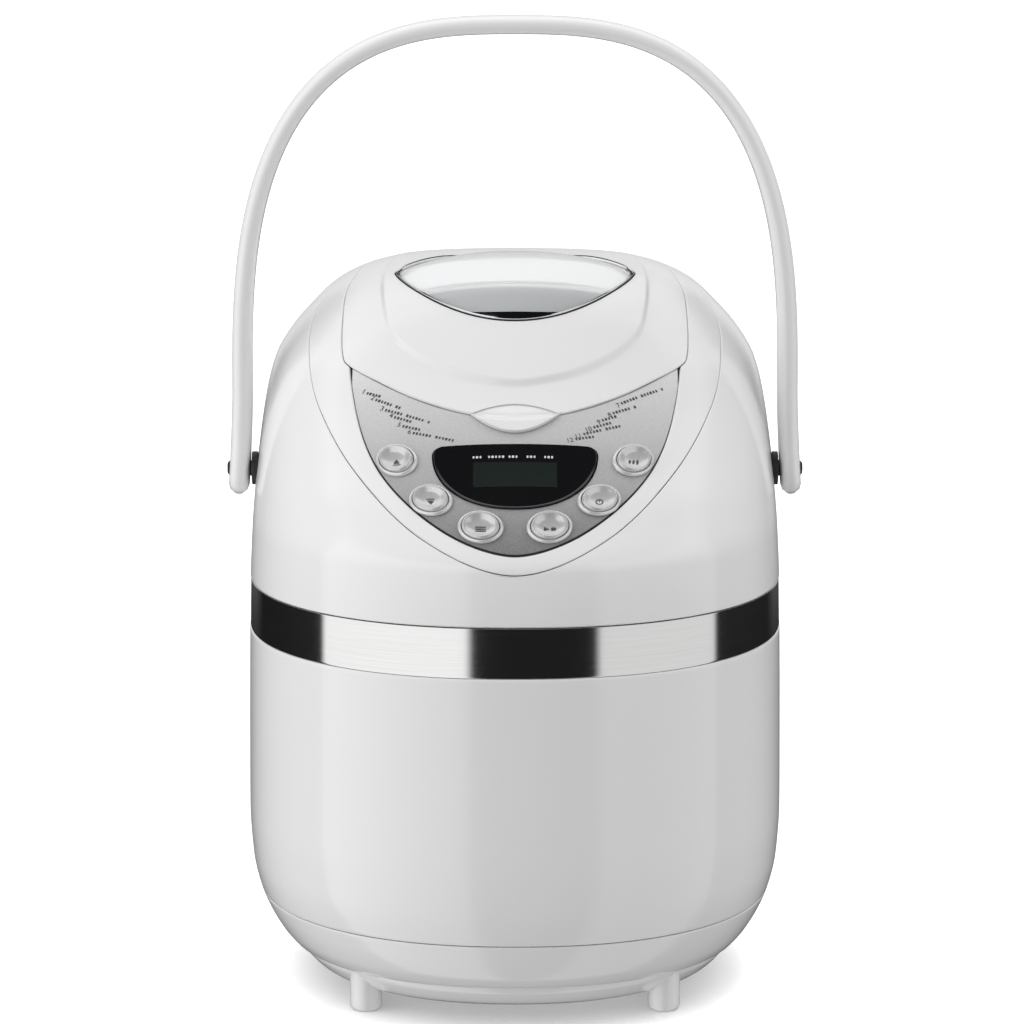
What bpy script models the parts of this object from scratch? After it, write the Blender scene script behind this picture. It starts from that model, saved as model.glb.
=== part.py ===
"""Bread machine: tall household bread maker with a carry handle, in metres, +Z up, front at -Y.

The origin is on the floor under the middle of the body. The casing follows one smooth body form,
a stack of rounded sections, and every outer cover is a piece of that form.
"""
import math

import bmesh
import bpy
import numpy as np
from mathutils import Matrix, Vector

# ---------------------------------------------------------------- driving dimensions
GAP = 0.0004                # space between neighbouring covers
WALL = 0.0025               # casing wall
ROUND = 2.2                 # exponent of the rounded plan sections
AROUND = 48                 # points around a cover

# height, half width, front and back of the body form
BODY_SECTIONS = np.array([
    (0.0075, 0.0950, -0.0990, 0.0990),
    (0.0130, 0.1050, -0.1090, 0.1090),
    (0.0210, 0.1132, -0.1172, 0.1172),
    (0.0300, 0.1215, -0.1255, 0.1255),
    (0.0475, 0.1310, -0.1335, 0.1335),
    (0.0650, 0.1350, -0.1380, 0.1380),
    (0.0900, 0.1365, -0.1400, 0.1400),
    (0.1300, 0.1362, -0.1405, 0.1405),
    (0.1840, 0.1355, -0.1403, 0.1403),
    (0.2090, 0.1350, -0.1400, 0.1400),
    (0.2350, 0.1338, -0.1375, 0.1390),
    (0.2550, 0.1324, -0.1240, 0.1375),
    (0.2800, 0.1300, -0.0985, 0.1350),
    (0.3030, 0.1265, -0.0745, 0.1305),
    (0.3160, 0.1228, -0.0620, 0.1265),
    (0.3300, 0.1145, -0.0490, 0.1200),
    (0.3430, 0.1030, -0.0360, 0.1110),
    (0.3520, 0.0935, -0.0240, 0.1010),
    (0.3585, 0.0825, -0.0100, 0.0890),
    (0.3637, 0.0680, 0.0060, 0.0750),
    (0.3667, 0.0500, 0.0220, 0.0600),
    (0.3680, 0.0010, 0.0410, 0.0430)])
BODY_CENTRE = Vector((0.0, 0.0175, 0.200))

BASE_SEAM = 0.0475          # top of the base tray
BAND_LOW, BAND_HIGH = 0.1840, 0.2090
BAND_THICK = 0.0013

FOOT_X, FOOT_Y, FOOT_R = 0.075, 0.080, 0.008
SCREW_X, SCREW_Y = 0.070, 0.060

# control panel: a plane that faces up and forward
PANEL_TILT = math.radians(47)
PANEL_ORIGIN = Vector((0.0, -0.105, 0.268))
PANEL_NORMAL = Vector((0.0, -math.cos(PANEL_TILT), math.sin(PANEL_TILT)))
PANEL_UP = Vector((0.0, math.sin(PANEL_TILT), math.cos(PANEL_TILT)))
PANEL_TIP, PANEL_HALF, PANEL_DEEP, PANEL_POWER = 0.0789, 0.0833, 0.1168, 1.77
PANEL_THICK = 0.0020
LID_FRONT, LID_FRONT_RISE, LID_CORNER = 0.0434, 0.0455, 0.0859
LID_CORNER_Y = -0.0300
PANEL_END = 0.0822          # the panel's tips stop a little short of its outline's half width

# buttons: x and distance up the panel, mirrored to the right
BUTTON_SPOTS = [(-0.0580, 0.0226), (-0.0410, -0.0040), (-0.0167, -0.0214)]
BUTTON_R, TRIM_R = 0.0082, 0.0104
LENS_TOP, LENS_HALF, LENS_DEEP = 0.0275, 0.0400, 0.0385

# window in the lid: half width, height of its tips' line in plan, its middle and its two bulges
WINDOW_HALF, WINDOW_TIP_Y, WINDOW_Y = 0.0584, 0.0082, -0.0050
WINDOW_FRONT, WINDOW_BACK, WINDOW_POWER = -0.0446, 0.0176, 2.8

# hinge across the middle of the lid's back edge, in a notch of the bezel
HINGE = Vector((0.0, 0.1362, 0.2880))
KNUCKLE_R, PIN_R = 0.0040, 0.0020
ARM_X, ARM_WIDTH, BRACKET_X, BRACKET_WIDTH = 0.0095, 0.0160, 0.0210, 0.0060
NOTCH_HALF, NOTCH_LOW = 0.0250, 0.2830
HANDLE = Vector((0.0, 0.0, 0.262))

# carry handle: bow over straight sides that lean out to the pivots and end a little below them
HANDLE_HALF, HANDLE_TOP, HANDLE_SPRING, HANDLE_POWER = 0.1384, 0.4876, 0.3020, 2.80
HANDLE_LEAN, HANDLE_END = 0.0026, 0.0130
HANDLE_THICK, HANDLE_DEEP = 0.0053, 0.0085
PIVOT_BORE = 0.0044

# vents behind each pivot: width, height and middle of the slots, and their pitch from the first
VENT_WIDTH, VENT_HEIGHT, VENT_Z = 0.0040, 0.0340, 0.3003
VENT_FIRST, VENT_PITCH, VENT_COUNT = 0.0302, 0.0090, 4

DRIVE = Vector((0.0, 0.0175, 0.0))       # axis of the pan, paddle and large pulley
MOTOR = Vector((0.0, -0.0980, 0.0))
LARGE_PULLEY_R, MOTOR_PULLEY_R = 0.0450, 0.0080

CHAMBER = (0.0800, 0.0795, 0.0750, 0.2920, 0.025)     # half width, half depth, floor, top, corner
PAN = (0.0650, 0.0600, 0.0950, 0.2320, 0.022)
BAIL_Z, BAIL_REACH, BAIL_HALF, BAIL_R = 0.2360, 0.0520, 0.0700, 0.0019

# ---------------------------------------------------------------- scene and materials
for leftover in list(bpy.data.objects):
    bpy.data.objects.remove(leftover, do_unlink=True)

PARTS = bpy.data.collections.new("bread_machine")
CUTTERS = bpy.data.collections.new("cutters")
for collection in (PARTS, CUTTERS):
    bpy.context.scene.collection.children.link(collection)


def material(name, color, roughness, metallic=0.0, alpha=1.0):
    made = bpy.data.materials.new(name)
    made.use_nodes = True
    shader = made.node_tree.nodes["Principled BSDF"]
    shader.inputs["Base Color"].default_value = (*color, 1.0)
    shader.inputs["Roughness"].default_value = roughness
    shader.inputs["Metallic"].default_value = metallic
    shader.inputs["Alpha"].default_value = alpha
    return made


WHITE = material("white_plastic", (0.86, 0.86, 0.86), 0.20)
STEEL = material("brushed_steel", (0.62, 0.62, 0.61), 0.30, 1.0)
SILVER = material("silver_panel", (0.60, 0.60, 0.60), 0.38, 0.7)
CHROME = material("chrome", (0.80, 0.80, 0.80), 0.08, 1.0)
SMOKED = material("smoked_window", (0.70, 0.72, 0.73), 0.05, 0.0, 0.4)
BLACK_GLOSS = material("black_lens", (0.01, 0.01, 0.012), 0.06)
BLACK = material("black_plastic", (0.03, 0.03, 0.03), 0.45)
RUBBER = material("silicone", (0.25, 0.25, 0.25), 0.8)
COATED = material("dark_coating", (0.09, 0.09, 0.09), 0.5, 0.3)
ALUMINIUM = material("aluminium", (0.75, 0.75, 0.76), 0.35, 1.0)
BOARD = material("circuit_board", (0.05, 0.25, 0.12), 0.5)
DISPLAY = material("display", (0.28, 0.32, 0.28), 0.3)
HEATER = material("heater_sheath", (0.16, 0.15, 0.15), 0.4, 0.8)
BELT = material("belt_rubber", (0.04, 0.04, 0.04), 0.7)


# ---------------------------------------------------------------- mesh helpers
def add(name, mesh, surface, collection=PARTS):
    made = bpy.data.objects.new(name, mesh)
    mesh.materials.append(surface)
    collection.objects.link(made)
    return made


def mesh_from(vertices, faces):
    mesh = bpy.data.meshes.new("mesh")
    mesh.from_pydata([tuple(v) for v in vertices], [], faces)
    work = bmesh.new()
    work.from_mesh(mesh)
    bmesh.ops.recalc_face_normals(work, faces=work.faces)
    work.to_mesh(mesh)
    work.free()
    mesh.shade_smooth()
    mesh.set_sharp_from_angle(angle=math.radians(35))
    return mesh


def loft(name, rings, surface, ring_shaped=False):
    """Skin rings of equal length: ends are capped, or the last ring joins the first."""
    count = len(rings[0])
    vertices = [point for ring in rings for point in ring]
    faces = []
    spans = len(rings) if ring_shaped else len(rings) - 1
    for i in range(spans):
        a = i * count
        b = ((i + 1) % len(rings)) * count
        for k in range(count):
            n = (k + 1) % count
            faces.append((a + k, a + n, b + n, b + k))
    if not ring_shaped:
        faces.append(tuple(range(count)))
        faces.append(tuple(range(a + count, a + 2 * count)))
    return add(name, mesh_from(vertices, faces), surface)


def slab(name, grid, depth_of, surface):
    """A closed plate over a grid of points, which depth_of carries to its underside."""
    rows, columns = len(grid), len(grid[0])
    top = [point for row in grid for point in row]
    vertices = top + [depth_of(point) for point in top]
    under = len(top)
    faces = []
    for i in range(rows - 1):
        for k in range(columns - 1):
            a = i * columns + k
            b = a + columns
            faces.append((a, a + 1, b + 1, b))
            faces.append((under + a, under + b, under + b + 1, under + a + 1))
    edge = [k for k in range(columns)]
    edge += [i * columns + columns - 1 for i in range(1, rows)]
    edge += [(rows - 1) * columns + k for k in range(columns - 2, -1, -1)]
    edge += [i * columns for i in range(rows - 2, 0, -1)]
    for here, there in zip(edge, edge[1:] + edge[:1]):
        faces.append((here, there, under + there, under + here))
    return add(name, mesh_from(vertices, faces), surface)


def turned(name, profile, surface, centre=(0, 0, 0), direction=(0, 0, 1), steps=24, ring=False,
           collection=PARTS):
    """A profile of (radius, height) from top to bottom, turned about its own axis."""
    mesh = bpy.data.meshes.new(name)
    count = len(profile)
    edges = [(i, i + 1) for i in range(count - 1)]
    if ring:
        edges.append((count - 1, 0))
    mesh.from_pydata([(r, 0.0, h) for r, h in profile], edges, [])
    made = add(name, mesh, surface, collection)
    screw = made.modifiers.new("turn", "SCREW")
    screw.steps = steps
    screw.render_steps = steps
    screw.use_merge_vertices = True
    screw.merge_threshold = 1e-5
    made.location = centre
    made.rotation_mode = "QUATERNION"
    made.rotation_quaternion = Vector(direction).to_track_quat("Z", "Y")
    return made


def box(name, size, centre, surface, bevel=0.0, turn=None, collection=PARTS):
    work = bmesh.new()
    bmesh.ops.create_cube(work, size=1.0)
    bmesh.ops.scale(work, vec=size, verts=work.verts)
    mesh = bpy.data.meshes.new(name)
    work.to_mesh(mesh)
    work.free()
    made = add(name, mesh, surface, collection)
    made.location = centre
    if turn is not None:
        made.rotation_euler = turn
    if bevel > 0:
        rounding = made.modifiers.new("edges", "BEVEL")
        rounding.width = bevel
        rounding.segments = 2
    return made


def cylinder_cutter(name, radius, length, centre, direction=(0, 0, 1), steps=24):
    profile = [(0, length / 2), (radius, length / 2), (radius, -length / 2), (0, -length / 2)]
    return turned(name, profile, WHITE, centre, direction, steps, collection=CUTTERS)


def hide(cutter):
    cutter.hide_render = True
    cutter.display_type = "WIRE"


def combine(target, other, operation):
    step = target.modifiers.new(operation.lower(), "BOOLEAN")
    step.operation = operation
    step.solver = "EXACT"
    step.object = other
    hide(other)


def cut(target, cutter):
    combine(target, cutter, "DIFFERENCE")


def join(target, other):
    combine(target, other, "UNION")


def tube(name, points, radius, surface, closed=False):
    curve = bpy.data.curves.new(name, "CURVE")
    curve.dimensions = "3D"
    curve.bevel_depth = radius
    curve.bevel_resolution = 2
    curve.use_fill_caps = True
    line = curve.splines.new("POLY")
    line.points.add(len(points) - 1)
    for spot, point in zip(line.points, points):
        spot.co = (*point, 1.0)
    line.use_cyclic_u = closed
    made = bpy.data.objects.new(name, curve)
    curve.materials.append(surface)
    PARTS.objects.link(made)
    return made


def rounded_rectangle(half_x, half_y, corner, z, centre=DRIVE, steps=6):
    """Points of a rounded rectangle, anticlockwise from the middle of its right side."""
    points = []
    for quarter, (sx, sy) in enumerate([(1, 1), (-1, 1), (-1, -1), (1, -1)]):
        for i in range(steps):
            angle = math.radians(90 * (quarter + i / (steps - 1)))
            x = sx * (half_x - corner) + corner * math.cos(angle)
            y = sy * (half_y - corner) + corner * math.sin(angle)
            points.append(Vector((centre.x + x, centre.y + y, z)))
    return points


# ---------------------------------------------------------------- the body form
def column_slopes(heights, values):
    """Slopes that carry a smooth curve through the values without overshoot."""
    steps = np.diff(heights)
    rises = np.diff(values) / steps
    slopes = np.zeros_like(values)
    slopes[0], slopes[-1] = rises[0], rises[-1]
    for i in range(1, len(values) - 1):
        if rises[i - 1] * rises[i] > 0:
            before = 2 * steps[i] + steps[i - 1]
            after = steps[i] + 2 * steps[i - 1]
            slopes[i] = (before + after) / (before / rises[i - 1] + after / rises[i])
    return slopes


HEIGHTS = BODY_SECTIONS[:, 0]
SLOPES = [column_slopes(HEIGHTS, BODY_SECTIONS[:, k]) for k in (1, 2, 3)]


def section_at(z):
    """Half width, middle and half depth of the body form at a height."""
    z = min(max(z, HEIGHTS[0]), HEIGHTS[-1])
    i = min(int(np.searchsorted(HEIGHTS, z, side="right")) - 1, len(HEIGHTS) - 2)
    step = HEIGHTS[i + 1] - HEIGHTS[i]
    t = (z - HEIGHTS[i]) / step
    values = []
    for k, slopes in zip((1, 2, 3), SLOPES):
        low, high = BODY_SECTIONS[i, k], BODY_SECTIONS[i + 1, k]
        values.append((2 * t**3 - 3 * t**2 + 1) * low + (t**3 - 2 * t**2 + t) * step * slopes[i]
                      + (3 * t**2 - 2 * t**3) * high + (t**3 - t**2) * step * slopes[i + 1])
    half, front, back = values
    return half, (front + back) / 2, (back - front) / 2


def reach(point):
    """Below 1 inside the body form, 1 on it and above 1 outside."""
    half, middle, deep = section_at(point[2])
    beyond = max(0.0, point[2] - HEIGHTS[-1]) * 1000
    return abs(point[0] / half) ** ROUND + abs((point[1] - middle) / deep) ** ROUND + beyond


def normal(point):
    step = 0.0004
    slope = Vector([reach(point + Vector(d) * step) - reach(point - Vector(d) * step)
                    for d in ((1, 0, 0), (0, 1, 0), (0, 0, 1))])
    return slope.normalized()


def on_section(angle, z):
    half, middle, deep = section_at(z)
    c, s = math.cos(angle), math.sin(angle)
    r = (abs(c) ** ROUND + abs(s) ** ROUND) ** (-1 / ROUND)
    return Vector((half * r * c, middle + deep * r * s, z))


def angle_of(point):
    half, middle, deep = section_at(point.z)
    return math.atan2((point.y - middle) / deep, point.x / half)


def drape(point, direction=None, span=0.05):
    """Move a point along a line onto the body form: away from the body's centre unless told."""
    point = Vector(point)
    line = (point - BODY_CENTRE).normalized() if direction is None else direction
    low, high = -span, span
    for _ in range(24):
        middle = (low + high) / 2
        if reach(point + line * middle) < 1:
            low = middle
        else:
            high = middle
    return point + line * low


def sink(point, depth):
    return point - normal(point) * depth


def on_panel(x, up):
    return drape(PANEL_ORIGIN + Vector((x, 0, 0)) + PANEL_UP * up, PANEL_NORMAL)


def smooth_outline(half, count=AROUND):
    """A closed outline through half of its points, mirrored, as count points on the body form."""
    guide = [Vector(p) for p in half]
    mirrored = [Vector((-p.x, p.y, p.z)) for p in guide[-2:0:-1]]
    loop = guide + mirrored
    fine = []
    total = len(loop)
    for i in range(total):
        p0, p1, p2, p3 = (loop[(i + j) % total] for j in (-1, 0, 1, 2))
        for j in range(8):
            t = j / 8
            fine.append(0.5 * (2 * p1 + (p2 - p0) * t + (2 * p0 - 5 * p1 + 4 * p2 - p3) * t * t
                               + (3 * p1 - p0 - 3 * p2 + p3) * t**3))
    lengths = [0.0]
    for a, b in zip(fine, fine[1:] + fine[:1]):
        lengths.append(lengths[-1] + (b - a).length)
    points = []
    for k in range(count):
        want = lengths[-1] * k / count
        i = int(np.searchsorted(lengths, want, side="right")) - 1
        t = (want - lengths[i]) / (lengths[i + 1] - lengths[i])
        points.append(drape(fine[i].lerp(fine[(i + 1) % len(fine)], t)))
    return points


def spread(outline, distance):
    """An outline on the body form, widened (or narrowed) by a distance along the form."""
    middle = sum(outline, Vector()) / len(outline)
    moved = []
    for point in outline:
        away = (point - middle)
        away -= normal(point) * away.dot(normal(point))
        moved.append(drape(point + away.normalized() * distance))
    return moved


def between(first, last, rows, direction=None, span=0.05):
    """Outlines on the body form from the first to the last."""
    result = [first]
    for i in range(1, rows):
        t = (i / rows) ** 1.6
        result.append([drape(a.lerp(b, t), direction, span) for a, b in zip(first, last)])
    return result + [last]


def ring_at(z, depth=0.0, angles=None):
    if angles is None:
        angles = [math.radians(-90 + 360 * k / AROUND) for k in range(AROUND)]
    points = [on_section(a, z) for a in angles]
    if depth:
        points = [Vector((*sink(p, depth).xy, z)) for p in points]
    return points


def panel_lower(x):
    return PANEL_TIP - PANEL_DEEP * (1 - (abs(x) / PANEL_HALF) ** PANEL_POWER) ** (1 / PANEL_POWER)


def panel_upper(x):
    return LID_FRONT + LID_FRONT_RISE * (x / LID_CORNER) ** 2


LID_SIDE = [(0.0870, -0.010, 0.340), (0.0855, 0.009, 0.351), (0.0810, 0.026, 0.3580),
            (0.0746, 0.052, 0.3610), (0.0700, 0.080, 0.354), (0.0682, 0.108, 0.337),
            (0.0672, 0.1230, 0.312), (0.0655, 0.1290, 0.299)]
LID_BACK = [(0.0580, 0.1318, 0.2935), (0.0, 0.1332, 0.2925)]
SEAM_HALF = [(0.0, -0.1374, 0.2344), (0.0442, -0.1234, 0.249), (0.0787, -0.0834, 0.2754),
             (0.0983, -0.0428, 0.3016), (0.1039, -0.0148, 0.3227), (0.1020, 0.008, 0.336),
             (0.0950, 0.032, 0.350), (0.0900, 0.062, 0.350), (0.0860, 0.095, 0.333),
             (0.0810, 0.118, 0.305), (0.0680, 0.1310, 0.280), (0.0350, 0.1365, 0.267),
             (0.0, 0.1378, 0.263)]
LID_FRONT_HALF = [on_panel(x, panel_upper(x)) for x in (0.0, 0.025, 0.050, 0.070, 0.083)]

LID_EDGE = smooth_outline(LID_FRONT_HALF + [(0.0860, -0.0290, 0.3245)] + LID_SIDE + LID_BACK)


def opening_point(point):
    """The rim of the opening under the lid and panel, beside a point of the lid's edge."""
    if point.y < LID_CORNER_Y:
        x = PANEL_END * math.sin(math.pi / 2 * min(1.0, max(-1.0, point.x / LID_CORNER)))
        return on_panel(x, panel_lower(x))
    return point


def bearing(point):
    """Plan angle of a point about the middle of the body, from 0 at the front."""
    return math.atan2(point.x, BODY_CENTRE.y - point.y) % math.tau


def beside(outline, guide):
    """The points of an outline that have the same bearings as a guide's points."""
    bearings = [bearing(p) for p in outline[1:]] + [math.tau]
    bearings.insert(0, 0.0)
    loop = outline + outline[:1]
    points = []
    for point in guide:
        want = bearing(point)
        i = min(int(np.searchsorted(bearings, want, side="right")) - 1, len(outline) - 1)
        t = (want - bearings[i]) / (bearings[i + 1] - bearings[i])
        points.append(drape(loop[i].lerp(loop[i + 1], t)))
    return points


TOP_OPENING = spread([opening_point(p) for p in LID_EDGE], GAP)
SEAM = beside(smooth_outline(SEAM_HALF, 4 * AROUND), TOP_OPENING)
PANEL_X = sorted(p.x for p, q in zip(TOP_OPENING, LID_EDGE) if q.y < LID_CORNER_Y)


# ---------------------------------------------------------------- casing
def base_tray():
    levels = [(0.0075, 0), (0.0130, 0), (0.0205, 0), (0.0215, -0.0006), (0.0330, 0),
              (BASE_SEAM - GAP, 0), (BASE_SEAM - GAP, WALL), (0.0250, WALL),
              (0.0105, WALL + 0.0020)]
    tray = loft("base_tray", [ring_at(z, depth) for z, depth in levels], WHITE)
    for x in (-SCREW_X, SCREW_X):
        for y in (-SCREW_Y, SCREW_Y):
            cut(tray, cylinder_cutter("tray_hole", 0.0024, 0.010, (x, y, 0.009), steps=16))


def underside(x, y):
    """Height of the base tray's outer face above a spot on the floor."""
    low, high = HEIGHTS[0], 0.040
    if reach((x, y, low)) < 1:
        return low
    for _ in range(20):
        middle = (low + high) / 2
        if reach((x, y, middle)) < 1:
            high = middle
        else:
            low = middle
    return high


def foot(name, x, y):
    def circle(radius, z=None):
        points = []
        for k in range(20):
            angle = math.tau * k / 20
            px, py = x + radius * math.cos(angle), y + radius * math.sin(angle)
            points.append(Vector((px, py, underside(px, py) - 0.0008 if z is None else z)))
        return points
    loft(name, [circle(FOOT_R - 0.001, 0.0), circle(FOOT_R, 0.001), circle(FOOT_R),
                circle(FOOT_R * 0.5)], WHITE)


def lower_shell():
    levels = [(BASE_SEAM + GAP, 0), (0.065, 0), (0.090, 0), (0.130, 0), (BAND_LOW - GAP, 0),
              (BAND_LOW - GAP, BAND_THICK + GAP), (BAND_HIGH - GAP, BAND_THICK + GAP),
              (BAND_HIGH - GAP, 0.0039), (0.1780, 0.0039), (0.1740, WALL), (0.0750, WALL),
              (BASE_SEAM + GAP, WALL)]
    shell = loft("lower_shell", [ring_at(z, depth) for z, depth in levels], WHITE, True)
    inlet_hole = box("inlet_hole", (0.0286, 0.030, 0.0206), (0.0, 0.138, 0.072), WHITE,
                     collection=CUTTERS)
    cut(shell, inlet_hole)


def steel_band():
    levels = [(BAND_LOW, 0), (BAND_HIGH - GAP, 0), (BAND_HIGH - GAP, BAND_THICK),
              (BAND_LOW, BAND_THICK)]
    loft("steel_band", [ring_at(z, depth) for z, depth in levels], STEEL, True)


def upper_shell():
    angles = [angle_of(p) for p in SEAM]
    outer = []
    for i in range(5):
        t = i / 4
        outer.append([on_section(a, (BAND_HIGH + GAP) * (1 - t) + (p.z - GAP) * t)
                      for a, p in zip(angles, SEAM)])
    inner = [[sink(p, WALL) for p in ring] for ring in outer[::2]]
    for point in inner[0]:
        point.z = BAND_HIGH + GAP
    shell = loft("upper_shell", outer + inner[::-1], WHITE, True)
    for side in (-1, 1):
        cut(shell, cylinder_cutter("pivot_hole", PIVOT_BORE, 0.030,
                                   (side * 0.131, HANDLE.y, HANDLE.z), (1, 0, 0), 16))
        for row in range(VENT_COUNT):
            middle = (side * 0.125, VENT_FIRST + VENT_PITCH * row, VENT_Z)
            cut(shell, box("vent_slot", (0.040, VENT_WIDTH, VENT_HEIGHT), middle, WHITE,
                           collection=CUTTERS))


def top_bezel():
    seam = []
    for point in SEAM:
        seam.append(on_section(angle_of(point), point.z + GAP))
    outer = between(seam, TOP_OPENING, 3)
    inner = [[sink(p, WALL) for p in ring] for ring in outer]
    bezel = loft("top_bezel", outer + inner[::-1], WHITE, True)
    notch_high = HINGE.z + 0.0200
    cut(bezel, box("hinge_notch", (2 * NOTCH_HALF, 0.030, notch_high - NOTCH_LOW),
                   (0, HINGE.y, (NOTCH_LOW + notch_high) / 2), WHITE, collection=CUTTERS))


# ---------------------------------------------------------------- lid
def lid_window_outline(scale=1.0):
    """Pointed oval in the top of the lid: two arcs that meet at its side tips."""
    points = []
    for k in range(AROUND):
        angle = math.radians(-90 + 360 * k / AROUND)
        side = math.cos(angle)
        bulge = WINDOW_FRONT if math.sin(angle) < 0 else WINDOW_BACK
        y = WINDOW_TIP_Y + bulge * (1 - abs(side) ** WINDOW_POWER)
        points.append(drape((WINDOW_HALF * side * scale, WINDOW_Y + (y - WINDOW_Y) * scale, 0.352)))
    return points


def lid_outer():
    edge = spread(LID_EDGE, -GAP)
    outer = between(edge, lid_window_outline(1.04), 5, Vector((0, 0, 1)), 0.08)
    inner = [[sink(p, WALL) for p in ring] for ring in outer]
    loft("lid_outer", outer + inner[::-1], WHITE, True)


def window_rim():
    outside = lid_window_outline(1.018)
    inside = lid_window_outline(0.960)
    loft("window_rim", [[sink(p, -0.0004) for p in outside], [sink(p, -0.0004) for p in inside],
                        [sink(p, 0.0030) for p in inside], [sink(p, 0.0030) for p in outside]],
         CHROME, True)


def lid_window():
    rings = [[sink(p, depth) for p in lid_window_outline(scale)]
             for scale, depth in ((0.60, -0.0004), (0.94, 0.0012), (0.94, 0.0034), (0.60, 0.0034))]
    loft("lid_window", rings, SMOKED)


def lid_liner():
    """Inner skin of the lid: a dish that closes the chamber, with an opening under the window."""
    def ring(scale, z):
        half_x, half_y = 0.0655 * scale, 0.0745 * scale
        loop = []
        for k in range(AROUND):
            angle = math.radians(-90 + 360 * k / AROUND)
            c, s = math.cos(angle), math.sin(angle)
            r = (abs(c) ** 4 + abs(s) ** 4) ** -0.25
            loop.append(Vector((half_x * r * c, DRIVE.y + half_y * r * s, z)))
        return loop
    rim = []
    for point in spread(LID_EDGE, -0.0030):
        point.y = min(point.y, 0.1050)
        rim.append(sink(drape((point.x, point.y, point.z), Vector((0, 0, 1))), WALL + 0.0022))
    rim_under = [p + (Vector((0, 0.02, p.z)) - p).normalized() * 0.0016 for p in rim]
    middle = [a.lerp(b, 0.5) for a, b in zip(rim, ring(1.0, 0.2985))]
    middle_in = [a.lerp(b, 0.5) for a, b in zip(rim_under, ring(0.98, 0.3005))]
    loft("lid_liner", [rim, middle, ring(1.0, 0.2985), ring(0.96, 0.2970), ring(0.62, 0.2970),
                       ring(0.62, 0.2985), ring(0.95, 0.2985), middle_in, rim_under],
         ALUMINIUM, True)


def lid_gasket():
    def ring(grow, z):
        return rounded_rectangle(0.0560 + grow, 0.0650 + grow, 0.024 + grow, z)
    loft("lid_gasket", [ring(0, 0.2966), ring(0.003, 0.2966), ring(0.003, 0.2942),
                        ring(0, 0.2942)], RUBBER, True)


# ---------------------------------------------------------------- control panel
def panel_plate():
    grid = []
    for row in range(4):
        line = []
        for x in PANEL_X:
            inner_x = x * 0.992
            low = panel_lower(inner_x) + 0.0007
            high = panel_upper(inner_x) - 0.0010
            line.append(on_panel(inner_x, low + (high - low) * row / 3))
        grid.append(line)
    plate = slab("panel_plate", grid, lambda p: sink(p, PANEL_THICK), SILVER)
    for centre, facing in button_places():
        cut(plate, cylinder_cutter("button_hole", BUTTON_R + 0.0014, 0.012, centre, facing, 16))
    outline = [PANEL_ORIGIN + Vector((x, 0, 0)) + PANEL_UP * up for x, up in lens_outline(1.035)]
    rings = [[p + PANEL_NORMAL * h for p in outline] for h in (-0.012, 0.012)]
    cutter = loft("lens_hole", rings, WHITE)
    PARTS.objects.unlink(cutter)
    CUTTERS.objects.link(cutter)
    cut(plate, cutter)


def lens_outline(grow=1.0):
    """The display lens in panel measures: straight top with round corners over a deep arc."""
    corner = 0.0045
    points = []
    for k in range(17):
        angle = math.radians(180 + 180 * k / 16)
        x = LENS_HALF * math.copysign(abs(math.cos(angle)) ** 0.92, math.cos(angle))
        points.append((x, LENS_TOP - corner + (LENS_DEEP - corner) * math.sin(angle)))
    for side in (1, -1):
        for k in range(1, 4):
            angle = math.radians(30 * k if side > 0 else 180 - 30 * (4 - k))
            points.append((side * (LENS_HALF - corner) + corner * math.cos(angle),
                           LENS_TOP - corner + corner * math.sin(angle)))
    middle = LENS_TOP - LENS_DEEP / 2
    return [(x * grow, middle + (up - middle) * grow) for x, up in points]


def display():
    outline = lens_outline()
    top = [on_panel(x, up) for x, up in outline]
    loft("display_lens", [top, [p - PANEL_NORMAL * 0.0020 for p in top]], BLACK_GLOSS)
    tilt = (math.pi / 2 - PANEL_TILT, 0, 0)
    box("lcd_module", (0.050, 0.022, 0.003), on_panel(0, 0.012) - PANEL_NORMAL * 0.0060, DISPLAY,
        0.0004, tilt)
    box("control_board", (0.118, 0.046, 0.0016), PANEL_ORIGIN - PANEL_NORMAL * 0.0160, BOARD,
        0.0, tilt)


def button_places():
    places = []
    for x, up in BUTTON_SPOTS + [(-x, up) for x, up in reversed(BUTTON_SPOTS)]:
        centre = on_panel(x, up)
        places.append((centre, normal(centre)))
    return places


def buttons():
    places = button_places()
    cap = [(0, 0.0022), (0.0040, 0.0020), (0.0068, 0.0012), (BUTTON_R, 0.0), (BUTTON_R, -0.0030),
           (0.0030, -0.0034), (0.0030, -0.0085), (0, -0.0085)]
    ring = [(BUTTON_R + 0.0004, 0.0012), (TRIM_R - 0.0004, 0.0012), (TRIM_R, 0.0003),
            (BUTTON_R + 0.0010, 0.0003), (BUTTON_R + 0.0010, -0.0036), (BUTTON_R + 0.0004, -0.0036)]
    for i, (centre, facing) in enumerate(places):
        turned(f"button_{i + 1}", cap, SILVER, centre, facing, 16)
    for side, three in (("left", places[:3]), ("right", places[3:])):
        trim = turned(f"button_trim_{side}", ring, CHROME, three[0][0], three[0][1], 16, True)
        for centre, facing in three[1:]:
            join(trim, turned("trim_ring", ring, CHROME, centre, facing, 16, True, CUTTERS))
        for (a, facing_a), (b, facing_b) in zip(three, three[1:]):
            start = a - facing_a * 0.0031
            end = b - facing_b * 0.0031
            along = (end - start).normalized()
            start += along * 0.0089
            end -= along * 0.0089
            runner = turned("trim_runner", [(0, 1), (0.0004, 1), (0.0004, 0), (0, 0)], CHROME,
                            start, along, 8, collection=CUTTERS)
            runner.scale = (1, 1, (end - start).length)
            join(trim, runner)


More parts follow.
